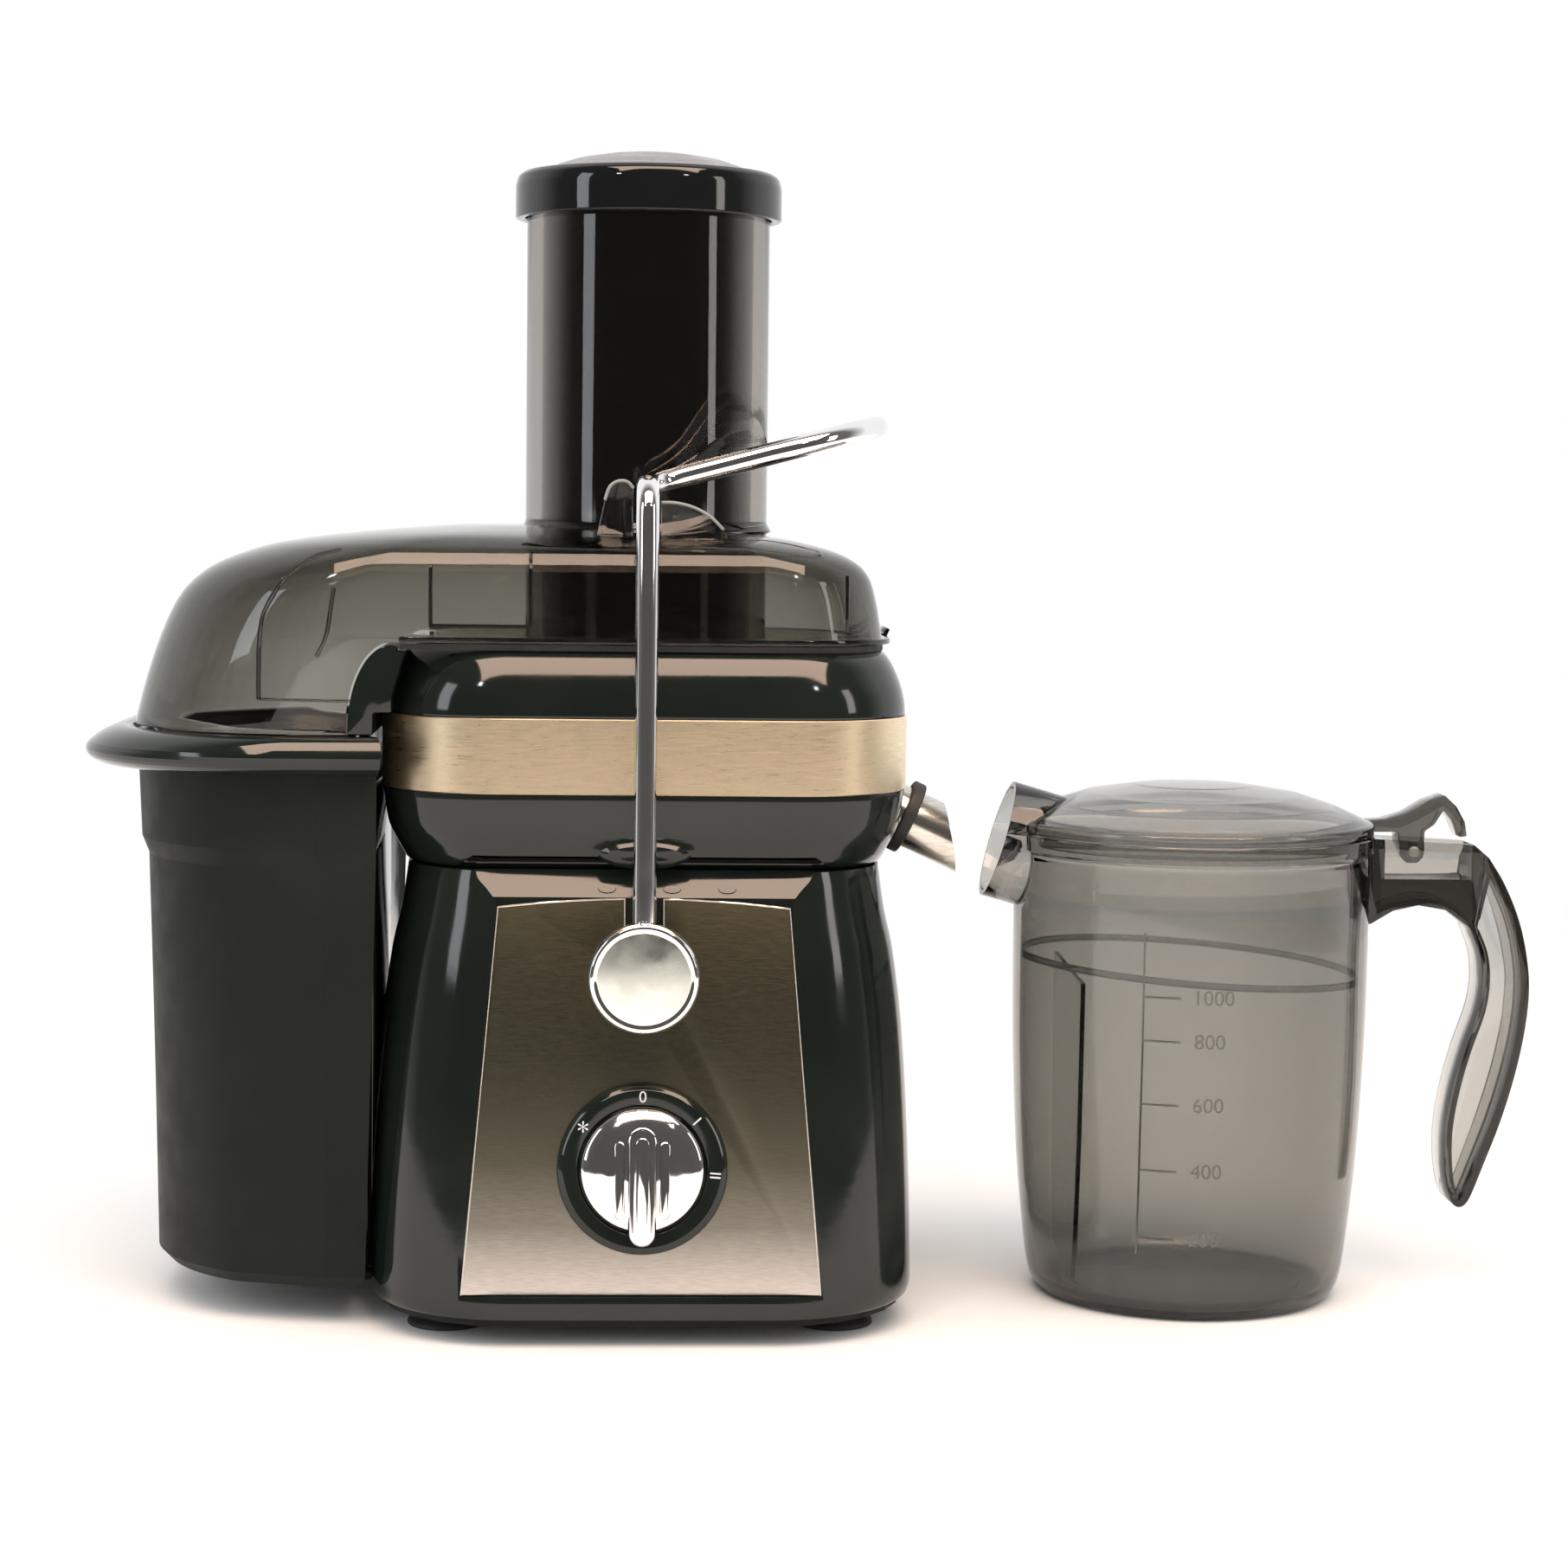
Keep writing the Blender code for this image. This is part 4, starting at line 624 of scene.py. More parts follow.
def dial():
    """The dial ring with its marks, and the domed knob with its bar grip between two flanks."""
    bezel = rounded_loop([
        (3.6, 2.8), (21.2, 2.8), (21.6, 4.3), (26.2, 4.5), (27.9, 3.4), (28.5, 0.3), (3.6, 0.3)], 0.5)
    ring = turned_mesh(bezel, ROUND, True)
    add("dial_ring", moved(ring, KNOB_AXIS), GLOSS, "base", ["knob_bezel"])
    marks = (("star", "*", -55, 8.5), ("off", "0", 0, 5.4), ("one", "I", 48, 5.2), ("two", "II", 94, 5.2))
    reach = 24 * MM
    for name, text, angle, size in marks:
        mark = glyph_mesh(text, size * MM, 0.06 * MM)
        angle = math.radians(angle)
        drop = -1.2 * MM if text == "*" else 0
        turn = Matrix.Rotation(-angle if text != "*" else 0, 4, "Z")
        place = shift(reach * math.sin(angle), reach * math.cos(angle) + drop, 4.46 * MM)
        add("dial_mark_" + name, moved(mark, turn, place, KNOB_AXIS), MARK, "base")
    disc = rounded_profile([
        (0, 9.4), (7, 9.1), (12.5, 8.1), (17, 6.5), (19.6, 5.2), (20.5, 4.3), (20.5, 3.1), (0, 3.1)], 1.2, 4)
    face = turned_mesh(disc, ROUND)
    add("knob_face", moved(face, KNOB_AXIS), CHROME, "knob", ["speed_knob"])
    grip = plate_mesh(bar_outline(0, -19.4, 9.9, 4.6, 20), 4.6 * MM, 16 * MM, 1.7 * MM)
    add("knob_grip", moved(grip, KNOB_AXIS), CHROME, "knob")
    ridge = plate_mesh(bar_outline(0, -19, 9.4, 2.2, 12), 15 * MM, 16.5 * MM, 0.6 * MM)
    add("knob_ridge", moved(ridge, KNOB_AXIS), CHROME, "knob")
    for side, x in (("left", -7.4), ("right", 7.4)):
        flank = plate_mesh(bar_outline(x, -14, 8, 1.7, 10), 5 * MM, 10.6 * MM, 0.8 * MM)
        add("knob_flank_" + side, moved(flank, KNOB_AXIS), CHROME, "knob")


# ---- locking arm

def arm_points():
    corner, turn, bend = 11 * MM, 12 * MM, 40 * MM
    height, inset, reach = 160 * MM, 60 * MM, 80 * MM
    front = [(0, -ARM_Y, 6.5 * MM), (0, -ARM_Y, 60 * MM), (0, -ARM_Y, height - corner)]
    for y, z in arc(-ARM_Y + corner, height - corner, corner, 180, 90, 16)[1:]:
        front.append((0, y, z))
    plan = arc(turn, -inset - turn, turn, 180, 90, 16) + arc(reach - bend, -inset + bend, bend, -90, 0, 28)
    for x, y in plan:
        front.append((x, y, height + x * math.tan(math.radians(15))))
    return front + [(x, -y, z) for x, y, z in reversed(front)]


def arm():
    """The chromed bail, with a hub and a round cap on each of its pivots."""
    rod = rod_mesh(arm_points(), ROD_RADIUS)
    add("arm_rod", moved(rod, shift(0, 0, PIVOT_Z)), CHROME, "arm", ["locking_arm"])
    for end, sign in (("front", 1), ("rear", -1)):
        turn = turn_x(sign * TO_FRONT)
        place = shift(0, 0, PIVOT_Z)
        hub = rounded_loop([(4.3, 94.5), (9, 94.5), (9, 109), (4.3, 109)], 0.6)
        add("arm_hub_" + end, moved(turned_mesh(hub, 64, True), turn, place), CHROME, "arm")
        cap = rounded_profile([
            (0, 113.2), (15.6, 113.2), (16.3, 113.6), (17.4, 113.4), (18.25, 112), (18.25, 109.3),
            (0, 109.3)], 0.5)
        cap_mesh = moved(turned_mesh(cap, ROUND), turn, place)
        add("arm_cap_rim_" + end, cap_mesh, CHROME, "arm", ["arm_cap_" + end])
        face = rounded_profile([(0, 113.45), (15.1, 113.35), (15.3, 113.1), (0, 113.1)], 0.1)
        add("arm_cap_face_" + end, moved(turned_mesh(face, ROUND), turn, place), CHROME_CAP, "arm")


# ---- bowl and spout

# Rows are height, half width and corner radius
BOWL_LOWER = [(157.3, 79.5, 35), (158.4, 81.2, 36), (168, 86.2, 39), (171, 87.2, 39.6), (175, 87.9, 40),
              (182.7, 88.9, 41)]
BOWL_UPPER = [(208.3, 88.8, 41), (212, 88.6, 40.8), (217, 87.6, 40), (222, 85.8, 39), (226, 83.8, 37),
              (228.6, 81.9, 35.4), (229.7, 80.6, 34.6)]
BOWL_INSIDE = [(229.7, 79.6, 33.6), (228, 80, 34), (214, 84.8, 37), (184, 85.4, 37), (170, 84, 37),
               (163, 80, 34), (160.2, 75, 30)]
SPOUT_PLACE = shift(89.5 * MM, -15 * MM, 170.9 * MM) @ turn_y(math.pi / 2 + math.radians(25))


def bowl_ring(z, half, radius):
    return square_ring(z * MM, half * MM, (half + 2.5) * MM, radius * MM)


def shoulder_arc(margin, steps=24):
    return [(-SHOULDER_X + (SHOULDER_REACH + margin) * x, SHOULDER_FOOT + (SHOULDER_RISE + margin) * z)
            for x, z in arc(0, 0, 1, 180, 90, steps)]


def bowl():
    """The bowl, the shoulder over the bin, and the half-round boss over a recess in its front foot."""
    rings = [bowl_ring(*row) for row in eased(BOWL_LOWER, 3, (1, 2))]
    rings += [bowl_ring(182.7, 88.1, 40.2), bowl_ring(208.3, 88.1, 40.2)]
    rings += [bowl_ring(*row) for row in eased(BOWL_UPPER, 3)]
    rings += [bowl_ring(*row) for row in eased(BOWL_INSIDE, 2, (1,))]
    mesh = loft_mesh(rings)
    outline = [(-90.2 * MM, 201.4 * MM), (-SHOULDER_X - SHOULDER_REACH, 201.4 * MM)] + shoulder_arc(0)
    outline += metric([(-82.6, 231.5), (-82, 229.6), (-79.5, 229.6), (-84, 214), (-84, 209), (-90.2, 209)])
    shoulder = moved(plate_mesh(outline, -83.5 * MM, 83.5 * MM, 0.8 * MM), turn_x(TO_FRONT))
    add("bowl_shoulder", shoulder, GLOSS, "base")
    recess = metric([(-64, 150), (-64, 157), (-57, 162), (57, 162), (64, 157), (64, 150)])
    cutter = moved(plate_mesh(recess, 76 * MM, 100 * MM), turn_x(TO_FRONT))
    outlet = moved(peg(10.5, -14, 16), SPOUT_PLACE)
    mesh = combined(mesh, [cutter, outlet, peg(15, 140, 180)], "DIFFERENCE")
    add("bowl_shell", softened(mesh, 0.5 * MM, 2, 32), GLOSS, "base", ["juice_bowl"])
    boss = turned_mesh([(0, 1), (0.35, 0.94), (0.66, 0.75), (0.87, 0.5), (1, 0), (0, 0)], 64)
    boss = moved(boss, Matrix.Diagonal((15.6 * MM, 5.4 * MM, 3.4 * MM, 1)), turn_x(math.radians(118)),
                 shift(0, -85.6 * MM, 162.6 * MM))
    add("bowl_boss", boss, GLOSS, "base")


def band():
    """The steel band let into the bowl, with a small chamfer at its edges; its warm gold colour is a painted
    reflection of the warm light in front.
    """
    rows = ((183, 89, 40.8), (183.3, 89.3, 41), (207.7, 89.3, 41), (208, 89, 40.8), (208, 88.5, 40.2),
            (183, 88.5, 40.2))
    rings = [bowl_ring(*row) for row in rows]
    add("bowl_band", loft_mesh(rings, True), BAND, "base", ["bowl_trim_band"])


def spout():
    """The steel tube, cut upright at its mouth, and the black ring that seals it in the bowl."""
    tube = turned_mesh(rounded_loop([(9.25, 32), (10.25, 32), (10.25, -8), (9.25, -8)], 0.2), 96, True)
    trim = moved(box_mesh((-30, -30, 0), (30, 30, 40)), turn_y(-math.radians(35)), shift(0, 0, 20.9 * MM))
    mesh = moved(combined(tube, [trim], "DIFFERENCE"), SPOUT_PLACE)
    add("spout_tube", softened(mesh, 0.2 * MM, 2, 40), STEEL, "base", ["juice_spout"])
    seal = turned_mesh(rounded_loop([(10.55, 5.6), (13.05, 5.6), (13.05, 1.2), (10.55, 1.2)], 0.8), 96, True)
    add("spout_ring", moved(seal, SPOUT_PLACE), RUBBER, "base", ["spout_seal"])


# ---- lid

LID_SHAPE = [  # height, low x, high x, half depth, low-x corner radius, high-x corner radius
    (201.4, -177, 84, 80.5, 62, 36), (218, -172.4, 82.6, 82.5, 62, 36), (234, -166.6, 80.6, 84, 61, 36),
    (247, -159.8, 78.4, 83, 59, 35), (255, -151, 75.8, 81.6, 56, 34), (260.5, -139, 70, 79.6, 52, 31),
    (264.5, -125, 60, 76, 48, 28), (268, -100, 42, 66, 42, 26), (271, -66, 8, 36, 30, 24),
]
FINS = {
    "left": [
        (-4.7, 264.8), (-4.7, 284), (-6.5, 286), (-9.5, 286.4), (-12.5, 284.6), (-14.2, 280), (-17.5, 264.8)],
    "right": [(28.5, 264), (25.5, 270.5), (21.5, 274.5), (16, 277.6), (10, 279.2), (4.7, 279.4), (4.7, 264)],
}


def lid_rings(wall):
    rings = []
    for z, low, high, depth, r_low, r_high in eased(LID_SHAPE, 4):
        level = max(z - wall, LID_SHAPE[0][0])
        rings.append(rounded_ring(level * MM, (low + wall) * MM, (high - wall) * MM, (depth - wall) * MM,
                                  (r_low - wall) * MM, (r_high - wall) * MM))
    return rings


def lid():
    """The smoked cover, its clear chute, the rim that sits on the bowl and the fins that hold the arm."""
    mesh = loft_mesh(lid_rings(LID_WALL / MM)[::-1] + lid_rings(0))
    margin = 0.8 * MM
    outline = [(-SHOULDER_X - SHOULDER_REACH - margin, 190 * MM)] + shoulder_arc(margin)
    outline += metric([(120, 232.3), (120, 190)])
    opening = moved(plate_mesh(outline, -100 * MM, 100 * MM), turn_x(TO_FRONT))
    mesh = combined(mesh, [opening, peg(CHUTE_RADIUS / MM - 0.3, 190, 300, 96)], "DIFFERENCE")
    add("lid_shell", softened(mesh, 0.5 * MM, 2, 40), SMOKE, "base", ["lid"])
    wall = rounded_loop([
        (37.8, 386), (42.7, 386), (42.7, 272.5), (43.6, 270.8), (44.4, 269.6), (42.6, 268.5), (42.7, 197),
        (37.8, 197)], 0.5)
    add("lid_chute", turned_mesh(wall, ROUND, True), CLEAR, "base")
    rim = []
    for half, radius in ((83.4, 37), (79.6, 33)):
        depth = half + 2.5
        path = [(-81.5, -depth)] + arc(half - radius, -depth + radius, radius, -90, 0, 20)
        path += arc(half - radius, depth - radius, radius, 0, 90, 20) + [(-81.5, depth)]
        rim.append(metric(path))
    flange = plate_mesh(rim[0] + rim[1][::-1], 232.35 * MM, 234.3 * MM, 0.4 * MM)
    add("lid_flange", flange, SMOKE_RIM, "base")
    for end, y in (("front", -66), ("rear", 66)):
        for side, points in FINS.items():
            smooth = [points[0]] + eased(points[1:-1], 4) + [points[-1]]
            fin = plate_mesh(metric(smooth), -1 * MM, 1 * MM, 0.3 * MM)
            add(f"lid_fin_{end}_{side}", moved(fin, turn_x(TO_FRONT), shift(0, y * MM, 0)), CLEAR, "base")
            # Light grey rods along the fins' edges: painted highlights.
            fin_highlight_path = [(x * MM, (y - 1) * MM, z * MM) for x, z in smooth[1:-1]]
            add(f"lid_painted_highlight_{end}_{side}", rod_mesh(fin_highlight_path, 0.55 * MM, 8), FIN_EDGE_HIGHLIGHT, "base")


def lid_front(x, z):
    """How far the lid's front stands from the axis at (x, z), in millimetres."""
    heights = [row[0] for row in LID_SHAPE]
    low, depth, radius = (float(np.interp(z, heights, [row[k] for row in LID_SHAPE])) for k in (1, 3, 4))
    inside = max(low + radius - x, 0)
    return depth - radius + math.sqrt(max(radius ** 2 - inside ** 2, 0))


def lid_lines():
    """The catch's outline on the lid's front: a dark groove, the line at its foot and two ribs behind it."""
    groove = eased([
        (-128, 213), (-128, 222), (-127, 239), (-123, 248), (-118, 254.5), (-110, 260), (-101, 262.5)], 5)
    foot = [(-128 + 2 * i, 213 - 0.02 * i) for i in range(17)]
    hook = eased([(-103, 250), (-104, 243), (-105.5, 234), (-108.5, 227.5)], 5)
    for name, points, radius in (("groove", groove, 0.8), ("foot", foot, 0.5), ("hook", hook, 0.7)):
        route = [(x * MM, -(lid_front(x, z) + 0.1) * MM, z * MM) for x, z in points]
        add("lid_" + name, rod_mesh(route, radius * MM, 3), SMOKE_RIM, "base")
    for x, low, high in ((-39, 238, 262), (-72, 238, 258), (66, 237, 256)):
        rib = box_mesh((x, -81, low), (x + 1.2, -76, high))
        add(f"lid_rib_{x}".replace("-", "m"), softened(rib, 0.3 * MM, 2), SMOKE_RIM, "base")
    catch = box_mesh((-72, -80.6, 237.2), (-39, -77, 238.4))
    add("lid_catch_sill", softened(catch, 0.3 * MM, 2), SMOKE_RIM, "base")
    tip = metric([(80.5, 233.2), (84.4, 233.2), (85.6, 236), (84.8, 236.4), (83.4, 234.6), (80.5, 234.3)])
    tip = plate_mesh(tip, -22 * MM, 22 * MM, 0.3 * MM)
    add("lid_hook", moved(tip, turn_x(TO_FRONT)), SMOKE_RIM, "base")


# ---- pusher

def pusher():
    """The hollow body in the chute, the collar it is held by and the domed window in the collar."""
    body = rounded_profile([
        (0, 201.2), (34.9, 201.2), (34.9, 389.2), (42.4, 389.2), (42.4, 386.5), (37.1, 386.5), (37.1, 201),
        (35.1, 199), (0, 199)], 0.5)
    add("pusher_tube", turned_mesh(body), GLOSS_DARK, "pusher", ["pusher_body"])
    cap = rounded_loop([
        (38.8, 393.2), (40, 394.2), (44, 394.2), (46, 392.6), (46.8, 389.4), (46.8, 378), (43.4, 378),
        (43.4, 389.5), (38.8, 389.5)], 0.9, 4)
    add("pusher_collar", turned_mesh(cap, ROUND, True), GLOSS_DARK, "pusher", ["pusher_cap"])
    dome = rounded_profile([
        (0, 401.5), (14, 400.9), (26, 398.9), (34, 396.2), (38.5, 393.7), (38.5, 389.5), (36.5, 389.5),
        (36.5, 392.4), (32, 394.8), (24, 397.2), (0, 399.5)], 2.0, 3)
    add("pusher_window", turned_mesh(dome), PINK, "pusher", ["pusher_dome"])


# ---- pulp bin

# Rows are height, low x, inner wall's x at its middle and at its horns, half depth and corner radius
BIN_WALL_ROWS = [
    (13, -167, -99, -94.6, 71, 62), (17, -170.6, -98.6, -93.2, 74, 64), (100, -172, -96.6, -91, 76, 65),
    (156, -173.2, -95.6, -89.6, 77, 65), (162, -175.6, -95.4, -89.4, 78, 66),
    (187.6, -176.6, -95.2, -89.2, 79, 67)]
BIN_RIM_ROWS = [
    (187.8, -183, -95.2, -88.8, 81.8, 67.4), (188, -188.6, -95.2, -88.4, 84.2, 68),
    (190.4, -193, -95.2, -87.6, 87.4, 69.5), (194, -193.6, -95.2, -87.2, 88.8, 70),
    (197.6, -189.6, -95.2, -87.2, 87.6, 68.4), (200.2, -184.6, -95.2, -88, 85.6, 67),
    (201, -180.6, -95.4, -89, 83.6, 66), (200.4, -178.4, -97, -91, 82, 66)]
BIN_INSIDE_ROWS = [
    (199.6, -178, -98, -93, 81.4, 66), (190, -174.2, -98, -92.6, 76.4, 65),
    (162.5, -173.2, -98, -92.8, 75.4, 64), (156.5, -170.8, -98.2, -93, 74.4, 63),
    (100, -169.6, -99.2, -94.4, 73.4, 62.6), (18, -168, -101.4, -96.6, 71, 61.6),
    (15.6, -165, -102, -98, 68.6, 60)]
HORN_STEPS = (0, 0.4, 0.65, 0.78, 0.86, 0.92, 0.96, 0.985, 1)
CREASE_SHARE = 0.52


def bin_ring(z, low, middle_x, horn, depth, radius, crease=0.0):
    """A level of the bin; crease flattens its front and back walls next to the machine."""
    centre = low + radius
    curve = arc(centre, depth - radius, radius, 90, 180, 24)
    curve += arc(centre, radius - depth, radius, 180, 270, 24)
    bend = centre - CREASE_SHARE * radius
    limit = depth - radius + radius * math.sin(math.acos(-CREASE_SHARE))
    ring = []
    for x, y in curve:
        if crease and x > bend:
            share = (x - bend) / (centre - bend)
            straight = limit + (depth - limit) * share
            y = math.copysign(abs(y) + (straight - abs(y)) * crease, y)
        ring.append((x, y, z))
    for y in [-step for step in reversed(HORN_STEPS[1:])] + list(HORN_STEPS):
        ring.append((middle_x + (horn - middle_x) * abs(y) ** 8, y * depth, z))
    return metric(ring)


def pulp_bin():
    """The satin bin with its gloss rim."""
    rings = [bin_ring(*row, 0.9) for row in eased(BIN_WALL_ROWS, 4, (1, 3, 4))]
    rings += [bin_ring(*row) for row in eased(BIN_RIM_ROWS, 3)]
    rings += [bin_ring(*row) for row in eased(BIN_INSIDE_ROWS, 2)]
    mesh = loft_mesh(rings)
    add("bin_shell", mesh, SATIN, "bin", ["pulp_bin"], degrees=12)
    mesh.materials.append(GLOSS)
    for face in mesh.polygons:
        if face.center.z > 187.7 * MM:
            face.material_index = 1


# ---- jug

JUG_OUTSIDE = [(49.5, 0), (52.8, 1.8), (55.6, 7), (57.6, 20), (60.6, 50), (62.5, 90), (62.9, 118), (63, 158)]
JUG_INSIDE = [(61.8, 158), (60.8, 156), (60.7, 118), (60.3, 90), (58.4, 50), (55.4, 20), (53.2, 8), (50.6, 4)]
HANDLE_CROWN = [(58, 163.8), (99.6, 161.6)]
HANDLE_GRIP = [
    (105, 157), (110.4, 148.5), (115.6, 137), (119, 125), (120.8, 111), (119.8, 96), (116.6, 79),
    (111.8, 62), (106, 46), (101.8, 35), (99.8, 32), (97.6, 31.2), (95.4, 32.6), (93.2, 39), (92, 48),
    (92, 60), (94.2, 74), (97.8, 88), (102.4, 102), (103.8, 112), (102.8, 122), (98.8, 132)]
HANDLE_ARCH = [(90, 138.4), (80, 140), (71, 138), (63, 133.2), (58, 133)]
BRACKET_HOLE = [
    (66.4, 159), (66.4, 138.4), (73, 141.6), (80, 142.9), (88, 141.6), (96.4, 137), (102, 128), (103.4, 158)]


def jug_radius(z):
    """The jug's outside radius at a height, in millimetres."""
    return float(np.interp(z, [row[1] for row in JUG_OUTSIDE], [row[0] for row in JUG_OUTSIDE]))


def offset_outline(outline, distance):
    shifted = []
    count = len(outline)
    for i, point in enumerate(outline):
        here = Vector(point)
        before = (here - Vector(outline[i - 1])).normalized()
        after = (Vector(outline[(i + 1) % count]) - here).normalized()
        inward = Vector((before.y + after.y, -before.x - after.x)).normalized()
        stretch = max(inward.dot(Vector((before.y, -before.x))), 0.5)
        shifted.append(tuple(here + inward * distance / stretch))
    return shifted


def on_inlet(inner, outer, low, high, closed=True):
    """A tube, or a solid peg if not closed, on the tilted axis that the juice comes in by."""
    profile = [(inner, high), (outer, high), (outer, low), (inner, low)]
    turn = turn_y(math.pi / 2 + INLET_ANGLE)
    return moved(turned_mesh(profile, 72, closed), turn, Matrix.Translation(INLET_MOUTH))


def jug_vessel():
    """The jug's wall and floor, with the half gutter under its inlet."""
    outside = eased(JUG_OUTSIDE, 4, (0,))
    profile = [(0, 1.5), (41.5, 1.5), (43, 0.2)] + outside
    profile += [(63.2, 158.6), (64.4, 159.8), (64.4, 164.6), (64, 165), (62.2, 165), (61.8, 164.6)]
    profile += eased(JUG_INSIDE, 3, (1,)) + [(0, 4)]
    mesh = turned_mesh(metric(profile), ROUND)
    mesh = combined(mesh, [on_inlet(0, INLET_BORE, -10 * MM, 24 * MM, False)], "DIFFERENCE")
    add("jug_vessel", softened(mesh, 0.3 * MM, 2, 50), SMOKE_JUG, "jug", ["jug_body"])
    gutter = on_inlet(INLET_BORE, INLET_RADIUS, 0, 26 * MM)
    above = box_mesh((-100, -40, JUG_RIM), (0, 40, 220))
    gutter = combined(gutter, [above, peg(62.6, 100, 300, 96)], "DIFFERENCE")
    add("jug_gutter", softened(gutter, 0.3 * MM, 2, 50), SMOKE_JUG, "jug")


def jug_handle():
    """An I-section grip: a dark rim round a thin light web, under a bracket with the hinge's slot in it."""
    slot = box_mesh((68, -6.3, 149), (99.4, 6.3, 170))
    cutters = [moved(cutter, turn_x(-TO_FRONT)) for cutter in (slot, peg(62.7, 50, 300, 96))]
    hole = metric(eased(offset_outline(HANDLE_GRIP, 2.8), 4))
    for side in (-1, 1):
        cutters.append(plate_mesh(hole, *sorted((side * 1.5 * MM, side * 12 * MM))))
        cutters.append(plate_mesh(metric(BRACKET_HOLE), *sorted((side * 8.4 * MM, side * 12 * MM))))
    outline = HANDLE_CROWN + eased(HANDLE_GRIP, 4) + HANDLE_ARCH
    bar = plate_mesh(metric(outline), -HANDLE_HALF, HANDLE_HALF)
    bar = softened(combined(bar, cutters, "DIFFERENCE"), 0.4 * MM, 2, 40)
    add("jug_handle", moved(bar, turn_x(TO_FRONT)), SMOKE_GRIP, "jug")


def wrapped(mesh, x=0.0, z=0.0):
    """A flat mesh, x across and y up, laid on the jug's round front."""
    for vertex in mesh.vertices:
        across, height = vertex.co.x + x, vertex.co.y + z
        radius = jug_radius(height / MM) * MM + 0.1 * MM + vertex.co.z
        vertex.co = (across, -math.sqrt(radius ** 2 - across ** 2), height)
    return mesh


def strip_outline(x_low, x_high, y_low, y_high, steps=8):
    """A rectangle with enough points along its long sides to follow a curve."""
    bottom = [(x_low + (x_high - x_low) * i / steps, y_low) for i in range(steps + 1)]
    return metric(bottom + [(x, y_high) for x, _ in reversed(bottom)])


def graduations():
    """The volume marks and their numbers, in millilitres, beside an upright line."""
    depth = 0.12 * MM
    for volume, z in ((200, 30), (400, 54), (600, 77), (800, 99), (1000, 114)):
        tick = plate_mesh(strip_outline(-25, -13, z - 0.35, z + 0.35), -depth, depth)
        add(f"jug_tick_{volume}", wrapped(tick), JUG_MARK, "jug")
        number = wrapped(glyph_mesh(str(volume), 7.2 * MM, depth), (-3 if volume < 1000 else -2) * MM, z * MM)
        add(f"jug_number_{volume}", number, JUG_MARK, "jug")
    heights = [24 + 4 * i for i in range(29)]
    outline = [(-25.5, z) for z in heights] + [(-24.9, z) for z in reversed(heights)]
    line = plate_mesh(metric(outline), -depth, depth)
    add("jug_scale_line", wrapped(line), JUG_MARK, "jug")


def jug_step():
    """The ring inside the jug that the froth separator hangs from; it lies a little lower at the handle."""
    ring = turned_mesh(rounded_loop([(58.9, 1.2), (60.4, 1.2), (60.4, -1.2), (58.9, -1.2)], 0.4), ROUND, True)
    add("jug_step", moved(ring, turn_y(math.radians(3.6)), shift(0, 0, 118 * MM)), SMOKE_RIM, "jug")


def jug_cover():
    """The jug's domed cover, the hood over its inlet and the hinged tab for the thumb."""
    underside = [(57.6, 168.8), (49.6, 172.9), (37, 177), (20, 179.8)]
    cover = turned_mesh(rounded_profile([
        (0, 182.6), (20, 181.8), (38, 179), (51, 174.8), (59, 171.2), (61.6, 169.9), (64.2, 169.2),
        (64.2, 165.3), (59.4, 165.3), (59.4, 160.3), (57.6, 160.3)] + underside + [(0, 180.6)], 1.2, 3))
    cover = combined(cover, [on_inlet(0, INLET_BORE, -10 * MM, 30 * MM, False)], "DIFFERENCE")
    add("jug_cover", softened(cover, 0.3 * MM, 2, 50), SMOKE_COVER, "jug_lid", ["jug_lid"])
    hood = on_inlet(INLET_BORE, INLET_RADIUS, 0, 34 * MM)
    low = box_mesh((-120, -40, 100), (40, 40, 165.3))
    under = turned_mesh(metric([(0, 180)] + underside[::-1] + [(57.6, 150), (0, 150)]), 96)
    hood = combined(hood, [low, under], "DIFFERENCE")
    add("jug_hood", softened(hood, 0.3 * MM, 2, 50), SMOKE_JUG, "jug_lid")
    outline = [
        (62.6, 169.6), (62.6, 165.7), (73.2, 165.7), (73.8, 157), (76, 154.8), (80, 154.8), (82.2, 157),
        (82.6, 166), (86, 168.4), (89.2, 173.6), (92.4, 170), (95.2, 164), (97.8, 164.4), (97, 169.4),
        (93.8, 175), (89.4, 179), (83, 176.6), (76, 172.4), (69, 170.2)]
    tab = plate_mesh(metric(outline), -5.6 * MM, 5.6 * MM, 0.5 * MM)
    add("jug_thumb_tab", moved(tab, turn_x(TO_FRONT)), SMOKE_GRIP, "jug_lid")


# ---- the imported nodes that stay

FINISHES = {
    "base_plate": SATIN, "cord_gland": RUBBER, "lid_gasket": RUBBER, "stator": COPPER, "rotor_core": COPPER,
    "commutator": COPPER, "cooling_fan": INNER, "carbon_brush_left": INNER, "carbon_brush_right": INNER,
    "rotary_switch": INNER, "safety_switch": INNER, "control_board": BOARD, "drive_coupling": INNER,
    "froth_separator": CLEAR, "bearing_lower": CHROME, "bearing_upper": CHROME,
}


def finish_nodes():
    """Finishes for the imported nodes; the ones that aren't named above are plain steel."""
    for name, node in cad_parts.items():
        node.data.materials.clear()
        node.data.materials.append(FINISHES.get(name, STEEL))


# ---- stage

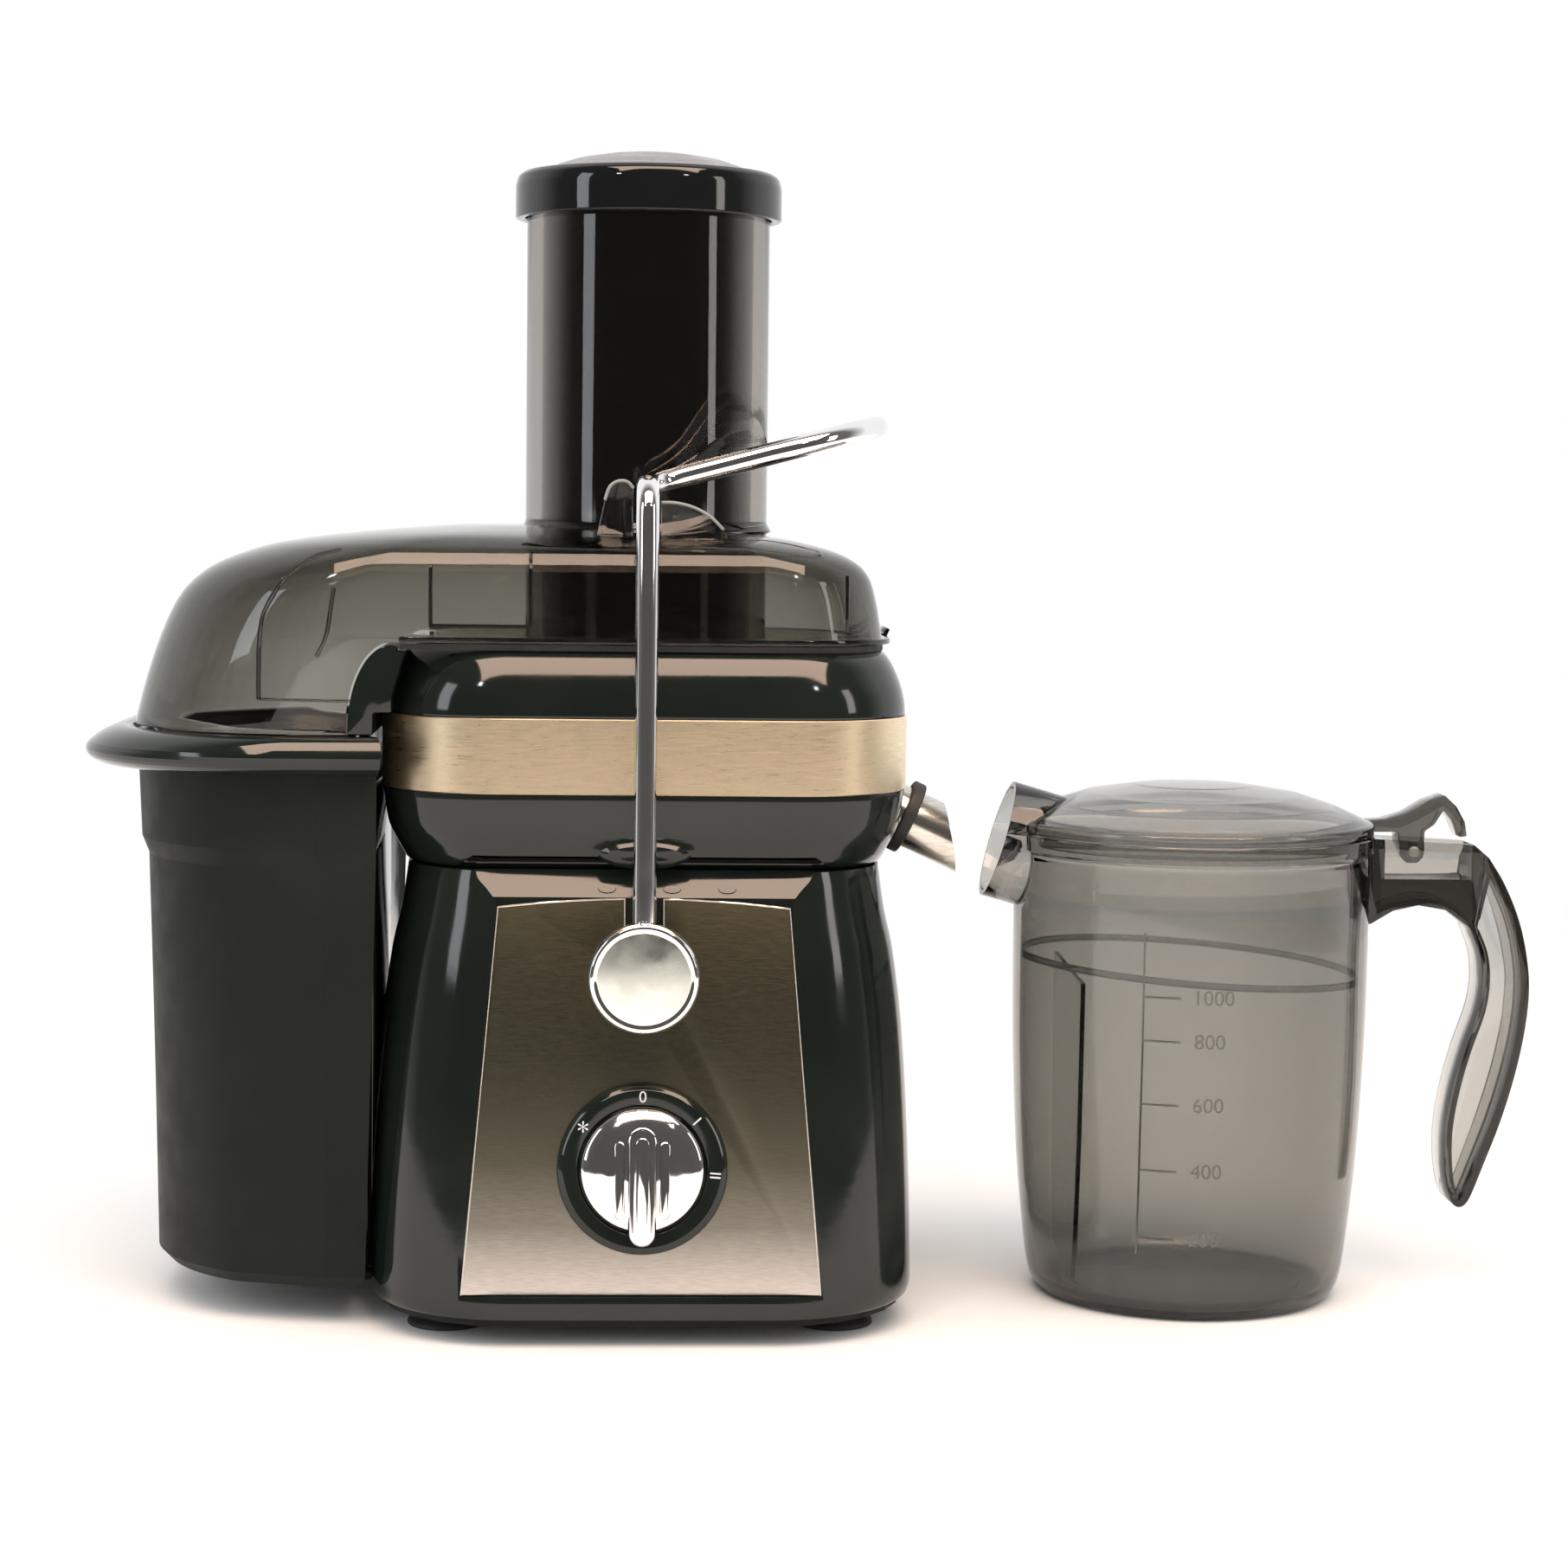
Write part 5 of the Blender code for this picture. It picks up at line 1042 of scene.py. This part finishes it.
def stage():
    floor = bpy.data.objects.new("floor", bpy.data.meshes.new("floor"))
    shape = bmesh.new()
    bmesh.ops.create_circle(shape, cap_ends=True, radius=1.1, segments=128)
    shape.to_mesh(floor.data)
    shape.free()
    material, tree, shader = new_material("pale_floor", (0.92, 0.91, 0.90), 0.75)
    drift = ramp(tree, noise(tree, 0.8, 2), [(0.3, (0.91, 0.90, 0.89)), (0.7, (0.93, 0.92, 0.91))])
    tree.links.new(drift, shader.inputs["Base Color"])
    floor.data.materials.append(material)
    bpy.context.scene.collection.objects.link(floor)

    world = bpy.data.worlds.new("studio")
    world.use_nodes = True
    tree = world.node_tree
    back = tree.nodes["Background"]
    place = tree.nodes.new("ShaderNodeTexCoord")
    split = tree.nodes.new("ShaderNodeSeparateXYZ")
    tree.links.new(place.outputs["Generated"], split.inputs["Vector"])
    side = spread(tree, split.outputs["Y"], 0.0, 1.0, -0.7, 0.3)
    sky = ramp(tree, side, [(0.0, (0.09, 0.085, 0.08)), (0.6, (0.16, 0.15, 0.14)), (1.0, (1.0, 1.0, 1.0))])
    ray = tree.nodes.new("ShaderNodeLightPath")
    choose = tree.nodes.new("ShaderNodeMix")
    choose.data_type = "RGBA"
    choose.inputs["A"].default_value = (1, 1, 1, 1)
    mirrored = tree.nodes.new("ShaderNodeMath")
    mirrored.operation = "MAXIMUM"
    tree.links.new(ray.outputs["Is Glossy Ray"], mirrored.inputs[0])
    tree.links.new(ray.outputs["Is Transmission Ray"], mirrored.inputs[1])
    tree.links.new(mirrored.outputs["Value"], choose.inputs["Factor"])
    tree.links.new(sky, choose.inputs["B"])
    tree.links.new(choose.outputs["Result"], back.inputs["Color"])
    back.inputs["Strength"].default_value = 1.0
    bpy.context.scene.world = world

    def lamp(name, power, color, size, position, target, lights_all=True):
        light = bpy.data.lights.new(name, "AREA")
        light.shape = "RECTANGLE"
        light.size, light.size_y = size
        light.energy = power
        light.color = color
        thing = bpy.data.objects.new(name, light)
        thing.location = position
        aim = Vector(target) - Vector(position)
        thing.rotation_euler = aim.to_track_quat("-Z", "Y").to_euler()
        thing.visible_diffuse = lights_all
        bpy.context.scene.collection.objects.link(thing)

    centre = (0, 0, 0.2)
    lamp("ceiling", 22, (1.0, 0.78, 0.63), (1.7, 0.8), (0.1, -0.8, 1.5), centre)
    lamp("ceiling_glow", 22, (1.0, 0.70, 0.52), (1.7, 0.8), (0.1, -0.79, 1.49), centre, False)
    lamp("left_window", 5, (0.92, 0.96, 1.0), (0.35, 1.0), (-1.5, -0.9, 0.75), centre)
    lamp("right_window", 3.5, (1.0, 0.95, 0.9), (0.25, 0.9), (1.5, -0.8, 0.7), centre)
    lamp("left_spark", 0.5, (0.85, 0.93, 1.0), (0.07, 0.07), (-0.55, -0.95, 0.95), centre)
    lamp("right_spark", 0.5, (0.85, 0.93, 1.0), (0.07, 0.07), (0.55, -0.95, 0.95), centre)


def camera():
    """A long lens at chest height, turned a little to the right of the machine."""
    yaw, pitch, roll = math.radians(2.75), math.radians(4.92), math.radians(0.70)
    forward = Vector((math.sin(yaw) * math.cos(pitch), math.cos(yaw) * math.cos(pitch), -math.sin(pitch)))
    level = Vector((math.cos(yaw), -math.sin(yaw), 0))
    upright = level.cross(forward)
    right = level * math.cos(roll) + upright * math.sin(roll)
    up = upright * math.cos(roll) - level * math.sin(roll)
    lens = bpy.data.cameras.new("camera")
    lens.sensor_width = 36
    lens.lens = 75.2
    lens.clip_start = 0.05
    view = bpy.data.objects.new("camera", lens)
    turn = Matrix((right, up, -forward)).transposed().to_4x4()
    view.matrix_world = Matrix.Translation((MACHINE.x - 6 * MM, MACHINE.y - 1168 * MM, 280 * MM)) @ turn
    bpy.context.scene.collection.objects.link(view)
    bpy.context.scene.camera = view


bpy.context.scene.view_settings.view_transform = "Standard"
camera()
stage()
finish_nodes()
housing()
panel()
foot_pieces()
bin_guide()
dial()
arm()
bowl()
band()
spout()
lid()
lid_lines()
pusher()
pulp_bin()
jug_vessel()
jug_handle()
graduations()
jug_step()
jug_cover()
